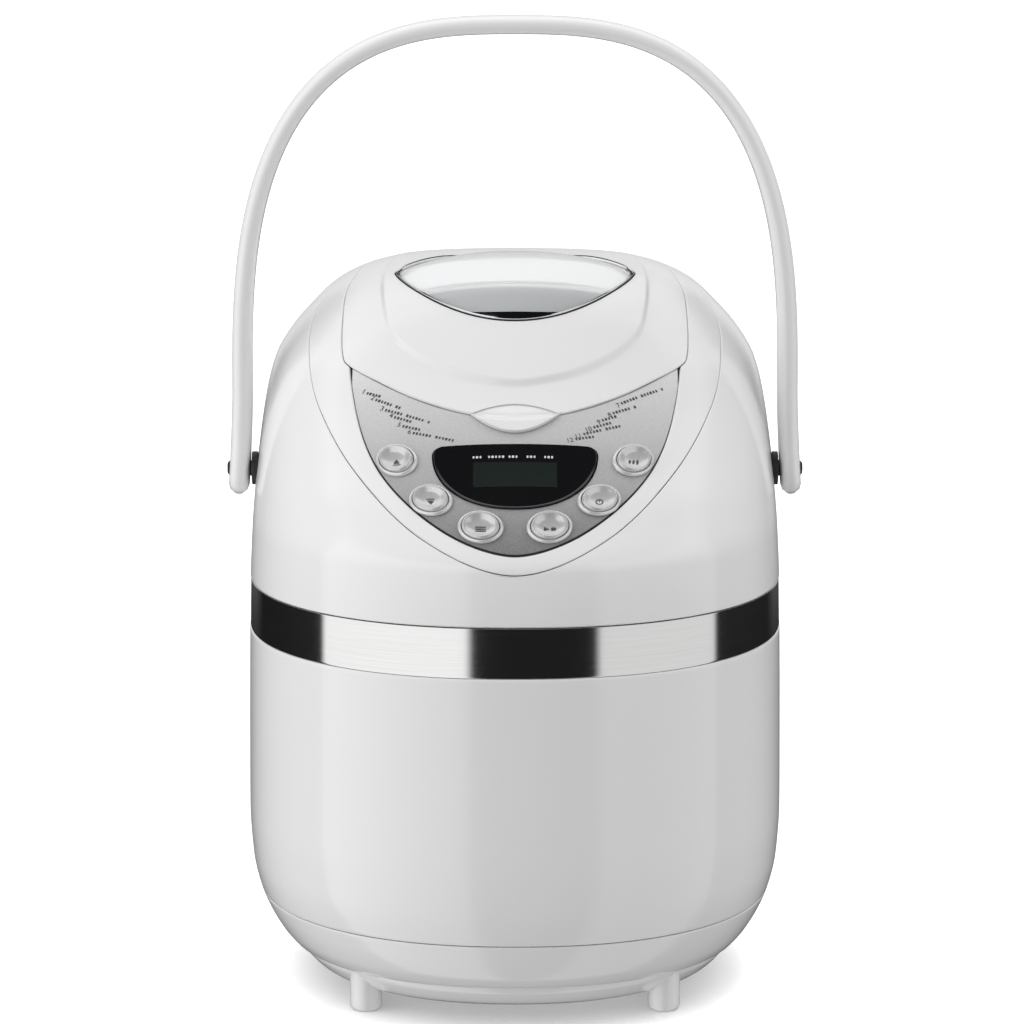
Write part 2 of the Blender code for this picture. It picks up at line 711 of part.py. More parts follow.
# ---------------------------------------------------------------- hinge
def hinge():
    """Two arms on the lid between two fixed brackets, all on one pin."""
    for side, name in ((-1, "left"), (1, "right")):
        for kind, x, width, outline, surface in (
                ("arm", ARM_X, ARM_WIDTH, hinge_arm_outline(), ALUMINIUM),
                ("bracket", BRACKET_X, BRACKET_WIDTH, hinge_bracket_outline(), STEEL)):
            leaf = extruded(f"hinge_{kind}_{name}", outline, side * x, width, surface)
            cut(leaf, cylinder_cutter("pin_bore", PIN_R + 0.0003, 0.030, (side * x, HINGE.y, HINGE.z),
                                      (1, 0, 0), 16))
    half = BRACKET_X + BRACKET_WIDTH / 2 + 0.0005
    turned("lid_hinge_pin", [(0, half), (PIN_R, half), (PIN_R, -half), (0, -half)], STEEL,
           HINGE, (1, 0, 0), 16)


def extruded(name, outline, x, width, surface):
    """An outline of (y, z) points made into a plate of the given width across x."""
    rings = [[Vector((x + side * width / 2, y, z)) for y, z in outline] for side in (-1, 1)]
    return loft(name, rings, surface)


def knuckle(start, end):
    points = []
    for k in range(13):
        angle = math.radians(start + (end - start) * k / 12)
        points.append((HINGE.y + KNUCKLE_R * math.cos(angle), HINGE.z + KNUCKLE_R * math.sin(angle)))
    return points


def hinge_arm_outline():
    """Knuckle round the pin, a foot under the lid's edge and a leaf up its inner skin."""
    return knuckle(-90, 135) + [(0.1300, 0.2906), (0.1240, 0.3080), (0.1216, 0.3080),
                                (0.1266, 0.2915), (0.1268, 0.2862)]


def hinge_bracket_outline():
    """Knuckle round the pin on a leg that goes down inside the bezel."""
    return knuckle(-110, 180) + [(0.1272, 0.2880), (0.1272, 0.2640), (0.1294, 0.2640),
                                 (0.1294, 0.2838)]


# ---------------------------------------------------------------- chamber and pan
def rectangle_cup(name, levels, surface):
    rings = [rounded_rectangle(hx, hy, corner, z) for hx, hy, corner, z in levels]
    return loft(name, rings, surface)


def oven_chamber():
    half_x, half_y, floor, top, corner = CHAMBER
    sheet = 0.0012
    levels = [(half_x, half_y, corner, floor), (half_x, half_y, corner, top - sheet),
              (half_x + 0.004, half_y + 0.004, corner + 0.004, top - sheet),
              (half_x + 0.004, half_y + 0.004, corner + 0.004, top),
              (half_x - sheet, half_y - sheet, corner - sheet, top),
              (half_x - sheet, half_y - sheet, corner - sheet, floor + sheet)]
    chamber = rectangle_cup("oven_chamber", levels, COATED)
    cut(chamber, cylinder_cutter("shaft_hole", 0.0100, 0.010, (DRIVE.x, DRIVE.y, floor)))
    for side in (-1, 1):
        cut(chamber, cylinder_cutter("heater_hole", 0.0038, 0.012,
                                     (side * 0.014, DRIVE.y + half_y, 0.105), (0, 1, 0), 16))
    cut(chamber, cylinder_cutter("probe_hole", 0.0034, 0.012, (0.030, DRIVE.y - half_y, 0.125),
                                 (0, 1, 0), 16))
    turned("temperature_probe", [(0, 0.010), (0.0020, 0.0095), (0.0030, 0.0080), (0.0030, -0.010),
                                 (0, -0.010)], STEEL, (0.030, DRIVE.y - half_y + 0.002, 0.125),
           (0, 1, 0), 16)


def heating_element():
    half_x, half_y, corner, z = 0.0725, 0.0715, 0.022, 0.105
    loop = rounded_rectangle(half_x, half_y, corner, z, steps=6)
    quarter = len(loop) // 4
    turn = 0.006
    start = [Vector((-0.014, DRIVE.y + half_y + 0.020, z)), Vector((-0.014, DRIVE.y + half_y + turn, z)),
             Vector((-0.016, DRIVE.y + half_y + 0.0015, z)), Vector((-0.020, DRIVE.y + half_y, z))]
    end = [Vector((-p.x, p.y, p.z)) for p in reversed(start)]
    route = start + loop[quarter:] + loop[:quarter] + end
    tube("heating_element", route, 0.0032, HEATER)


def lid_well():
    """Fixed collar between the bezel's opening and the chamber's mouth."""
    upper = []
    for k in range(AROUND):
        angle = math.radians(-90 + 360 * k / AROUND)
        c, s = math.cos(angle), math.sin(angle)
        r = (abs(c) ** 4 + abs(s) ** 4) ** -0.25
        x = 0.0845 * r * c
        y = 0.0165 + 0.0870 * r * s
        upper.append(Vector((x, y, well_height(x, y))))
    lower = []
    for k in range(AROUND):
        angle = math.radians(-90 + 360 * k / AROUND)
        c, s = math.cos(angle), math.sin(angle)
        r = (abs(c) ** 5 + abs(s) ** 5) ** -0.2
        lower.append(Vector((0.0790 * r * c, DRIVE.y + 0.0785 * r * s, CHAMBER[3] + 0.0004)))
    outer_lower = [Vector((p.x * 1.045, (p.y - DRIVE.y) * 1.045 + DRIVE.y, p.z)) for p in lower]
    outer_upper = [Vector((p.x * 1.018, (p.y - 0.0165) * 1.018 + 0.0165, p.z)) for p in upper]
    loft("lid_well", [upper, lower, outer_lower, outer_upper], WHITE, True)


def well_height(x, y):
    """Top of the well: a little under the body form, and low in front of the hinge."""
    roof = drape((x, y, 0.33), Vector((0, 0, 1)), 0.08).z - 0.0085
    return min(roof, 0.325, 0.300 + 0.9 * max(0.0, 0.100 - y))


def bread_pan():
    half_x, half_y, floor, top, corner = PAN
    wall = 0.0015
    taper = 0.005
    levels = [(half_x - taper - 0.004, half_y - taper - 0.004, corner - 0.004, floor),
              (half_x - taper, half_y - taper, corner, floor + 0.004),
              (half_x, half_y, corner, top - 0.003), (half_x + 0.0002, half_y + 0.002, corner, top),
              (half_x - wall, half_y - wall, corner - wall, top),
              (half_x - taper - wall, half_y - taper - wall, corner - wall, floor + 0.005),
              (half_x - taper - 0.005, half_y - taper - 0.005, corner - 0.005, floor + wall)]
    pan = rectangle_cup("bread_pan", levels, COATED)
    cut(pan, cylinder_cutter("pan_hole", 0.0044, 0.010, (DRIVE.x, DRIVE.y, floor)))
    turned("pan_foot", [(0.0280, floor - 0.0004), (0.0310, floor - 0.0004), (0.0310, 0.0780),
                        (0.0325, 0.0766), (0.0280, 0.0766)], ALUMINIUM, DRIVE, steps=24, ring=True)
    for side, name in ((-1, "left"), (1, "right")):
        x = side * (half_x + 0.0011)
        outline = [(DRIVE.y - 0.009, 0.2120), (DRIVE.y + 0.009, 0.2120)]
        for k in range(9):
            angle = math.radians(180 * k / 8)
            outline.append((DRIVE.y + 0.006 * math.cos(angle), BAIL_Z + 0.006 * math.sin(angle)))
        ear = extruded(f"pan_ear_{name}", outline, x, 0.0014, STEEL)
        cut(ear, cylinder_cutter("ear_hole", BAIL_R + 0.0004, 0.010, (x, DRIVE.y, BAIL_Z),
                                 (1, 0, 0), 16))


def pan_bail():
    """Wire bail, stored lying forward on the pan's rim."""
    corner = 0.010
    front = DRIVE.y - BAIL_REACH
    half = [(BAIL_HALF - 0.0060, DRIVE.y), (BAIL_HALF - 0.0015, DRIVE.y), (BAIL_HALF, DRIVE.y - 0.0015)]
    for k in range(6):
        angle = math.radians(90 * k / 5)
        half.append((BAIL_HALF - corner + corner * math.cos(angle),
                     front + corner - corner * math.sin(angle)))
    points = half + [(-x, y) for x, y in reversed(half)]
    tube("pan_bail", [(x, y, BAIL_Z) for x, y in points], BAIL_R, STEEL)


def paddle_parts():
    turned("pan_shaft", [(0, 0.1185), (0.0030, 0.1185), (0.0040, 0.1170), (0.0040, 0.0918),
                         (0, 0.0918)], STEEL, DRIVE, steps=20)
    coupling = turned("pan_coupling", [(0, 0.0915), (0.0130, 0.0915), (0.0130, 0.0890), (0, 0.0890)],
                      STEEL, DRIVE)
    for side in (-1, 1):
        join(coupling, box("coupling_dog", (0.008, 0.004, 0.0070),
                           (DRIVE.x, DRIVE.y + side * 0.0085, 0.0862), STEEL, collection=CUTTERS))
    paddle = turned("kneading_paddle", [(0.0043, 0.1220), (0.0075, 0.1220), (0.0105, 0.0990),
                                        (0.0043, 0.0990)], COATED, DRIVE, steps=24, ring=True)
    outline = [(0.0060, 0.0990), (0.0400, 0.0990), (0.0415, 0.1040), (0.0330, 0.1230),
               (0.0220, 0.1290), (0.0130, 0.1240), (0.0060, 0.1190)]
    rings = []
    for across in (-0.0022, 0.0022):
        rings.append([Vector((x, DRIVE.y + across, z)) for x, z in outline])
    blade = loft("paddle_blade", rings, COATED)
    PARTS.objects.unlink(blade)
    CUTTERS.objects.link(blade)
    join(paddle, blade)


# ---------------------------------------------------------------- drive
def chassis():
    rings = []
    for z in (0.0460, 0.0475):
        ring = []
        for k in range(24):
            angle = math.tau * k / 24
            c, s = math.cos(angle), math.sin(angle)
            r = (abs(c) ** ROUND + abs(s) ** ROUND) ** (-1 / ROUND)
            ring.append(Vector((0.120 * r * c, 0.122 * r * s, z)))
        rings.append(ring)
    plate = loft("chassis_plate", rings, STEEL)
    for x in (-SCREW_X, SCREW_X):
        for y in (-SCREW_Y, SCREW_Y):
            post = [(0, 0.0465), (0.0050, 0.0465), (0.0050, 0.0110), (0.0023, 0.0110),
                    (0.0023, 0.0270), (0, 0.0270)]
            join(plate, turned("chassis_post", post, STEEL, (x, y, 0), steps=10, collection=CUTTERS))
    cut(plate, cylinder_cutter("bearing_hole", 0.0125, 0.010, (DRIVE.x, DRIVE.y, 0.0465)))
    cut(plate, cylinder_cutter("motor_hole", 0.0070, 0.010, (MOTOR.x, MOTOR.y, 0.0465)))


def base_screws():
    profile = [(0, 0.0240), (0.0019, 0.0225), (0.0019, 0.0072), (0.0042, 0.0072), (0.0042, 0.0060),
               (0.0030, 0.0052), (0, 0.0052)]
    number = 1
    for x in (-SCREW_X, SCREW_X):
        for y in (-SCREW_Y, SCREW_Y):
            screw = turned(f"base_screw_{number}", profile, STEEL, (x, y, 0), steps=12)
            cut(screw, box("screw_slot", (0.0055, 0.0011, 0.0016), (x, y, 0.0052), STEEL,
                           collection=CUTTERS))
            number += 1


def drive():
    turned("bearing_block", [(0.0044, 0.0720), (0.0090, 0.0720), (0.0110, 0.0540), (0.0230, 0.0520),
                             (0.0230, 0.0479), (0.0044, 0.0479)], ALUMINIUM, DRIVE, ring=True)
    turned("drive_shaft", [(0, 0.0792), (0.0040, 0.0792), (0.0040, 0.0240), (0, 0.0240)], STEEL, DRIVE,
           steps=20)
    fork = turned("drive_fork", [(0, 0.0820), (0.0090, 0.0820), (0.0090, 0.0795), (0, 0.0795)], STEEL,
                  DRIVE)
    for side in (-1, 1):
        join(fork, box("fork_dog", (0.0060, 0.008, 0.0070), (DRIVE.x + side * 0.0078, DRIVE.y, 0.0840),
                       STEEL, collection=CUTTERS))
    turned("large_pulley", [(0.0043, 0.0410), (0.0090, 0.0410), (0.0100, 0.0360), (0.0410, 0.0360),
                            (0.0430, 0.0390), (LARGE_PULLEY_R, 0.0390), (LARGE_PULLEY_R, 0.0290),
                            (0.0430, 0.0290), (0.0410, 0.0320), (0.0100, 0.0320), (0.0090, 0.0270),
                            (0.0043, 0.0270)], BLACK, DRIVE, steps=24, ring=True)
    turned("motor_body", [(0, 0.1180), (0.0080, 0.1180), (0.0090, 0.1140), (0.0280, 0.1130),
                          (0.0300, 0.1110), (0.0300, 0.0530), (0.0280, 0.0505), (0, 0.0505)],
           STEEL, MOTOR, steps=28)
    turned("motor_rotor", [(0, 0.0500), (0.0030, 0.0500), (0.0030, 0.0410), (MOTOR_PULLEY_R, 0.0400),
                           (MOTOR_PULLEY_R, 0.0280), (0.0030, 0.0270), (0.0030, 0.0240),
                           (0, 0.0240)], STEEL, MOTOR, steps=20)


def belt_outline(grow, z):
    """Closed path round both pulleys, at a distance from their faces."""
    distance = DRIVE.y - MOTOR.y
    tilt = math.asin((LARGE_PULLEY_R - MOTOR_PULLEY_R) / distance)
    points = []
    for k in range(21):
        angle = -tilt + (math.pi + 2 * tilt) * k / 20
        r = LARGE_PULLEY_R + grow
        points.append(Vector((r * math.cos(angle), DRIVE.y + r * math.sin(angle), z)))
    for k in range(11):
        angle = math.pi + tilt + (math.pi - 2 * tilt) * k / 10
        r = MOTOR_PULLEY_R + grow
        points.append(Vector((r * math.cos(angle), MOTOR.y + r * math.sin(angle), z)))
    return points


def drive_belt():
    inside, outside = 0.0004, 0.0022
    loft("drive_belt", [belt_outline(inside, 0.0300), belt_outline(outside, 0.0300),
                        belt_outline(outside, 0.0380), belt_outline(inside, 0.0380)], BELT, True)


def electrics():
    box("power_board", (0.090, 0.0016, 0.080), (0.0, 0.1180, 0.140), BOARD)
    rings = []
    for width, high, y in ((0.0280, 0.0200, 0.1160), (0.0280, 0.0200, 0.1404),
                           (0.0220, 0.0140, 0.1404), (0.0220, 0.0140, 0.1200)):
        rings.append([Vector((p.x, y, p.y + 0.072)) for p in
                      rounded_rectangle(width / 2, high / 2, 0.003, 0, Vector(), 4)])
    inlet = loft("mains_inlet", rings, BLACK)
    for x in (-0.0050, 0.0050):
        pin = cylinder_cutter("inlet_pin", 0.0015, 0.018, (x, 0.1260, 0.072), (0, 1, 0), 12)
        join(inlet, pin)


# ---------------------------------------------------------------- carry handle
def handle_centre(t):
    """Centre line from the left pivot over the top to the right pivot, t from -1 to 1."""
    share = 0.14
    side = math.copysign(1.0, t)
    if abs(t) > 1 - share:
        down = (abs(t) - 1 + share) / share
        z = HANDLE_SPRING + (HANDLE.z - HANDLE_END - HANDLE_SPRING) * down
        return Vector((side * (HANDLE_HALF + HANDLE_LEAN * down**1.4), 0, z))
    angle = math.pi / 2 * abs(t) / (1 - share)
    power = 2 / HANDLE_POWER
    x = HANDLE_HALF * math.sin(angle) ** power
    return Vector((side * x, 0, HANDLE_SPRING + (HANDLE_TOP - HANDLE_SPRING)
                   * max(0.0, math.cos(angle)) ** power))


def carry_handle():
    rings = []
    stops = 28
    for i in range(stops + 1):
        t = 2 * i / stops - 1
        here = handle_centre(t)
        along = (handle_centre(min(1, t + 0.01)) - handle_centre(max(-1, t - 0.01))).normalized()
        outward = Vector((-along.z, 0, along.x))
        low = max(0.0, 1 - (here.z - HANDLE.z + HANDLE_END) / 0.030)
        deep = HANDLE_DEEP + 0.0010 * min(1.0, low * 2)
        thick = HANDLE_THICK
        if low > 0.85:
            deep *= 0.80
            thick *= 0.85
        ring = []
        for k in range(10):
            angle = math.tau * k / 10
            c, s = math.cos(angle), math.sin(angle)
            r = (abs(c) ** 2.6 + abs(s) ** 2.6) ** (-1 / 2.6)
            ring.append(here + outward * (thick * r * c) + Vector((0, deep * r * s, 0)))
        rings.append(ring)
    handle = loft("carry_handle", rings, WHITE)
    for side, name in ((-1, "left"), (1, "right")):
        cut(handle, cylinder_cutter("handle_bore", PIVOT_BORE, 0.030,
                                    (side * 0.140, HANDLE.y, HANDLE.z), (1, 0, 0), 16))
        pivot = [(0, 0.1468), (0.0030, 0.1468), (0.0040, 0.1460), (0.0040, 0.1340), (0.0065, 0.1340),
                 (0.0065, 0.1328), (0.0040, 0.1328), (0.0040, 0.1250), (0.0080, 0.1250),
                 (0.0080, 0.1220), (0, 0.1220)]
        turned(f"handle_pivot_{name}", pivot, BLACK, HANDLE, (side, 0, 0), 12)


# ---------------------------------------------------------------- build
base_tray()
for foot_name, foot_x, foot_y in (("foot_front_left", -FOOT_X, -FOOT_Y),
                                  ("foot_front_right", FOOT_X, -FOOT_Y),
                                  ("foot_rear_left", -FOOT_X, FOOT_Y),
                                  ("foot_rear_right", FOOT_X, FOOT_Y)):
    foot(foot_name, foot_x, foot_y)
lower_shell()
steel_band()
upper_shell()
top_bezel()
lid_outer()
window_rim()
lid_window()
lid_liner()
lid_gasket()
panel_plate()
display()
buttons()
hinge()
oven_chamber()
heating_element()
lid_well()
bread_pan()
pan_bail()
paddle_parts()
chassis()
base_screws()
drive()
drive_belt()
electrics()
carry_handle()
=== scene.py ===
"""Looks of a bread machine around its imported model: metres, +Z up, front at -Y.

Every cover is a fine skin over the same body form as the model: a stack of rounded sections.
"""
import math

import bmesh
import bpy
import numpy as np
from mathutils import Matrix, Vector


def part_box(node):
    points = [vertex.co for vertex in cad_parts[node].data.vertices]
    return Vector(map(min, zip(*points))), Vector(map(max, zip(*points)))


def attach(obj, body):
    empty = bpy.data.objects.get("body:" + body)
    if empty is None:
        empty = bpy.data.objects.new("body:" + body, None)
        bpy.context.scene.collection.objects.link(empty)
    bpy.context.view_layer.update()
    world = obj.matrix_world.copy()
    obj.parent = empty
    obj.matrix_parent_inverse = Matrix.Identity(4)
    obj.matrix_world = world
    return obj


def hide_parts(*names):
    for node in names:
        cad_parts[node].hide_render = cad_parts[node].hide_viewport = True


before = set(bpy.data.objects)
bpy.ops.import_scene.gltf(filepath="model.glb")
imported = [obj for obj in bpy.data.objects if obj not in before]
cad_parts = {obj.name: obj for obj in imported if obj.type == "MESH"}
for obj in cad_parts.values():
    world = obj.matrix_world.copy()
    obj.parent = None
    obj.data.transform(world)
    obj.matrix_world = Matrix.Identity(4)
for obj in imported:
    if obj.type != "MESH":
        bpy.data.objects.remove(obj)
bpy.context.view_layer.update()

# ---- the body form
GAP = 0.0002                # half the space between neighbouring covers
WALL = 0.0025               # casing wall
LIP = 0.0006                # rounding of a cover's edge
ROUND = 2.2                 # exponent of the rounded plan sections
AROUND = 480                # points around a cover

# height, half width, front and back of the body form
BODY_SECTIONS = np.array([
    (0.0075, 0.0950, -0.0990, 0.0990),
    (0.0130, 0.1050, -0.1090, 0.1090),
    (0.0210, 0.1132, -0.1172, 0.1172),
    (0.0300, 0.1215, -0.1255, 0.1255),
    (0.0475, 0.1310, -0.1335, 0.1335),
    (0.0650, 0.1350, -0.1380, 0.1380),
    (0.0900, 0.1365, -0.1400, 0.1400),
    (0.1300, 0.1362, -0.1405, 0.1405),
    (0.1840, 0.1355, -0.1403, 0.1403),
    (0.2090, 0.1350, -0.1400, 0.1400),
    (0.2350, 0.1338, -0.1375, 0.1390),
    (0.2550, 0.1324, -0.1240, 0.1375),
    (0.2800, 0.1300, -0.0985, 0.1350),
    (0.3030, 0.1265, -0.0745, 0.1305),
    (0.3160, 0.1228, -0.0620, 0.1265),
    (0.3300, 0.1145, -0.0490, 0.1200),
    (0.3430, 0.1030, -0.0360, 0.1110),
    (0.3520, 0.0935, -0.0240, 0.1010),
    (0.3585, 0.0825, -0.0100, 0.0890),
    (0.3637, 0.0680, 0.0060, 0.0750),
    (0.3667, 0.0500, 0.0220, 0.0600),
    (0.3680, 0.0010, 0.0410, 0.0430)])
BODY_CENTRE = np.array((0.0, 0.0175, 0.200))
TURNS = np.radians(-90 + 360 * np.arange(AROUND) / AROUND)      # around a cover from its front
UP = np.array((0.0, 0.0, 1.0))
BASE_SEAM, BAND_LOW, BAND_HIGH = 0.0475, 0.1840, 0.2090

PANEL_TILT = math.radians(47)
PANEL_ORIGIN = np.array((0.0, -0.105, 0.268))
PANEL_NORMAL = np.array((0.0, -math.cos(PANEL_TILT), math.sin(PANEL_TILT)))
PANEL_UP = np.array((0.0, math.sin(PANEL_TILT), math.cos(PANEL_TILT)))
PANEL_TIP, PANEL_HALF, PANEL_DEEP, PANEL_POWER = 0.0789, 0.0833, 0.1168, 1.77
LID_FRONT, LID_FRONT_RISE, LID_CORNER = 0.0434, 0.0455, 0.0859
PANEL_END, TIP_POWER = 0.0826, 20
PANEL_SUNK, PANEL_SEAM, PANEL_THICK = 0.0009, 0.0011, 0.0018

BUTTON_SPOTS = [(-0.0580, 0.0226), (-0.0410, -0.0040), (-0.0167, -0.0214)]
BUTTON_R, TRIM_R = 0.0088, 0.0107
LENS_TOP, LENS_HALF, LENS_DEEP = 0.0275, 0.0400, 0.0385
SCREEN_HALF, SCREEN_LOW, SCREEN_HIGH = 0.0205, 0.0015, 0.0164
WINDOW_HALF, WINDOW_TIP_Y, WINDOW_Y = 0.0560, 0.0060, -0.0050
WINDOW_FRONT, WINDOW_BACK, WINDOW_POWER, WINDOW_BLUNT = -0.0460, 0.0198, 2.1, 0.68

# openings, and from where to where their cutters reach
NOTCH_HALF, NOTCH_LOW, NOTCH_HIGH, NOTCH_CUT = 0.0250, 0.2830, 0.3080, (0.1212, 0.1512)
VENT_WIDTH, VENT_HEIGHT, VENT_Z, VENT_CUT = 0.0040, 0.0340, 0.3003, (0.105, 0.140)
VENT_FIRST, VENT_PITCH, VENT_COUNT = 0.0302, 0.0090, 4
INLET_WIDTH, INLET_HEIGHT, INLET_CORNER, INLET_Z, INLET_CUT = 0.0286, 0.0206, 0.0030, 0.0720, (0.120, 0.160)
HANDLE = np.array((0.0, 0.0, 0.262))                            # middle of the pivots' line
HANDLE_HALF, HANDLE_TOP, HANDLE_SPRING, HANDLE_POWER = 0.1384, 0.4876, 0.3020, 2.80
HANDLE_LEAN, HANDLE_END, HANDLE_STRAIGHT = 0.0026, 0.0130, 0.14
HANDLE_THICK, HANDLE_DEEP = 0.0053, 0.0085


def column_slopes(heights, values):
    """Slopes that carry a smooth curve through the values without overshoot."""
    steps = np.diff(heights)
    rises = np.diff(values) / steps
    slopes = np.zeros_like(values)
    slopes[0], slopes[-1] = rises[0], rises[-1]
    for i in range(1, len(values) - 1):
        if rises[i - 1] * rises[i] > 0:
            before = 2 * steps[i] + steps[i - 1]
            after = steps[i] + 2 * steps[i - 1]
            slopes[i] = (before + after) / (before / rises[i - 1] + after / rises[i])
    return slopes


HEIGHTS = BODY_SECTIONS[:, 0]
SLOPES = [column_slopes(HEIGHTS, BODY_SECTIONS[:, k]) for k in (1, 2, 3)]


def section_at(z):
    """Half width, middle and half depth of the body form at heights."""
    z = np.clip(z, HEIGHTS[0], HEIGHTS[-1])
    i = np.clip(np.searchsorted(HEIGHTS, z, side="right") - 1, 0, len(HEIGHTS) - 2)
    step = HEIGHTS[i + 1] - HEIGHTS[i]
    t = (z - HEIGHTS[i]) / step
    values = []
    for k, slopes in zip((1, 2, 3), SLOPES):
        low, high = BODY_SECTIONS[i, k], BODY_SECTIONS[i + 1, k]
        values.append((2 * t**3 - 3 * t**2 + 1) * low + (t**3 - 2 * t**2 + t) * step * slopes[i]
                      + (3 * t**2 - 2 * t**3) * high + (t**3 - t**2) * step * slopes[i + 1])
    half, front, back = values
    return half, (front + back) / 2, (back - front) / 2


def reach(points):
    """Below 1 inside the body form, 1 on it and above 1 outside."""
    half, middle, deep = section_at(points[..., 2])
    beyond = np.maximum(0.0, points[..., 2] - HEIGHTS[-1]) * 1000
    return (np.abs(points[..., 0] / half) ** ROUND
            + np.abs((points[..., 1] - middle) / deep) ** ROUND + beyond)


def normal(points):
    step = 0.0006
    slope = np.stack([reach(points + axis * step) - reach(points - axis * step)
                      for axis in np.eye(3)], -1)
    return slope / np.linalg.norm(slope, axis=-1, keepdims=True)


def on_section(angle, z):
    half, middle, deep = section_at(z)
    c, s = np.cos(angle), np.sin(angle)
    r = (np.abs(c) ** ROUND + np.abs(s) ** ROUND) ** (-1 / ROUND)
    return np.stack([half * r * c, middle + deep * r * s, z + 0 * r], -1)


def angle_of(points):
    half, middle, deep = section_at(points[..., 2])
    return np.arctan2((points[..., 1] - middle) / deep, points[..., 0] / half)


def drape(points, direction=None, span=0.08):
    """Move points along a line onto the body form: away from the body's centre unless told."""
    points = np.asarray(points, float)
    if direction is None:
        direction = points - BODY_CENTRE
        direction = direction / np.linalg.norm(direction, axis=-1, keepdims=True)
    low = np.full(points.shape[:-1], -span)
    high = -low
    for _ in range(30):
        middle = (low + high) / 2
        inside = reach(points + direction * middle[..., None]) < 1
        low = np.where(inside, middle, low)
        high = np.where(inside, high, middle)
    return points + direction * low[..., None]


def sink(points, depth):
    return points - normal(points) * (depth[..., None] if isinstance(depth, np.ndarray) else depth)


def panel_point(x, up):
    """A point in the panel's plane, x across and up along its slope."""
    x, up = np.broadcast_arrays(np.asarray(x, float), np.asarray(up, float))
    return PANEL_ORIGIN + x[..., None] * np.array((1.0, 0, 0)) + up[..., None] * PANEL_UP


def on_panel(x, up):
    return drape(panel_point(x, up), PANEL_NORMAL)


def resample(points, count, closed=True):
    """Points at equal steps along a fine line."""
    line = np.vstack([points, points[:1]]) if closed else points
    lengths = np.concatenate([[0], np.cumsum(np.linalg.norm(np.diff(line, axis=0), axis=1))])
    want = np.linspace(0, lengths[-1], count, endpoint=not closed)
    return np.stack([np.interp(want, lengths, line[:, k]) for k in range(line.shape[1])], 1)


def mirrored(half):
    """A loop from its right half, which starts and ends on the middle plane."""
    left = half[-2:0:-1].copy()
    left[:, 0] *= -1
    return np.vstack([half, left])


def smooth_loop(loop, steps):
    """Fine points along a smooth closed curve through the points of a loop."""
    p0, p1, p2, p3 = (np.roll(loop, -j, axis=0)[:, None] for j in (-1, 0, 1, 2))
    t = np.linspace(0, 1, steps, endpoint=False)[None, :, None]
    fine = 0.5 * (2 * p1 + (p2 - p0) * t + (2 * p0 - 5 * p1 + 4 * p2 - p3) * t * t
                  + (3 * p1 - p0 - 3 * p2 + p3) * t**3)
    return fine.reshape(-1, loop.shape[1])


def smooth_outline(half, count=AROUND):
    """A closed outline through half of its points, mirrored, as count points on the body form."""
    return drape(resample(smooth_loop(mirrored(np.array(half, float)), 32), count))


def spread(outline, distance):
    """An outline on the body form, widened (or narrowed) by a distance along the form."""
    along = np.roll(outline, -1, axis=0) - np.roll(outline, 1, axis=0)
    away = np.cross(along, normal(outline))
    away /= np.linalg.norm(away, axis=1, keepdims=True)
    return drape(outline + away * distance)


def between(first, last, shares):
    """Outlines on the body form from the first to the last, at the given shares of the way."""
    return [drape(first + (last - first) * t) for t in shares]


def panel_upper(x):
    return LID_FRONT + LID_FRONT_RISE * (x / LID_CORNER) ** 2


def panel_lower(x):
    """Lower edge of the panel, which turns up to the lid's edge at its two round tips."""
    share = np.minimum(1.0, np.abs(x) / PANEL_HALF)
    low = PANEL_TIP - PANEL_DEEP * (1 - share**PANEL_POWER) ** (1 / PANEL_POWER)
    high = panel_upper(x)
    turn = np.clip(1 - (np.abs(x) / PANEL_END) ** TIP_POWER, 0, 1) ** 0.5
    return high - (high - low) * turn


def bearing(points):
    """Plan angle of points about the middle of the body, from 0 at the front."""
    return np.arctan2(points[:, 0], BODY_CENTRE[1] - points[:, 1]) % math.tau


def beside(outline, guide):
    """The points of an outline that have the same bearings as a guide's points."""
    angles = np.concatenate([[0.0], bearing(outline[1:]), [math.tau]])
    loop = np.vstack([outline, outline[:1]])
    want = bearing(guide)
    want[0] = 0.0
    return drape(np.stack([np.interp(want, angles, loop[:, k]) for k in range(3)], 1))


LID_SIDE = [(0.0870, -0.010, 0.340), (0.0855, 0.009, 0.351), (0.0810, 0.026, 0.3580),
            (0.0746, 0.052, 0.3610), (0.0700, 0.080, 0.354), (0.0682, 0.108, 0.337),
            (0.0672, 0.1230, 0.312), (0.0655, 0.1290, 0.299)]
LID_BACK = [(0.0580, 0.1318, 0.2935), (0.0, 0.1332, 0.2925)]
SEAM_HALF = [(0.0, -0.1374, 0.2344), (0.0442, -0.1234, 0.249), (0.0787, -0.0834, 0.2754),
             (0.0983, -0.0428, 0.3016), (0.1039, -0.0148, 0.3227), (0.1020, 0.008, 0.336),
             (0.0950, 0.032, 0.350), (0.0900, 0.062, 0.350), (0.0860, 0.095, 0.333),
             (0.0810, 0.118, 0.305), (0.0680, 0.1310, 0.280), (0.0350, 0.1365, 0.267),
             (0.0, 0.1378, 0.263)]
LID_FRONT_HALF = [on_panel(x, panel_upper(x)) for x in (0.0, 0.025, 0.050, 0.070, 0.083)]
LID_EDGE = smooth_outline(LID_FRONT_HALF + [(0.0860, -0.0290, 0.3245)] + LID_SIDE + LID_BACK)


def top_opening():
    """Rim of the opening that holds the panel and the lid."""
    x = PANEL_END * np.sin(np.linspace(0, math.pi / 2, 240))
    front = on_panel(x, panel_lower(x))
    right = LID_EDGE[:AROUND // 2 + 1]
    half = np.vstack([front, right[right[:, 1] > front[-1, 1] + GAP]])
    return spread(drape(resample(mirrored(half), AROUND)), GAP)


TOP_OPENING = top_opening()
SEAM = beside(smooth_outline(SEAM_HALF, 2 * AROUND), TOP_OPENING)


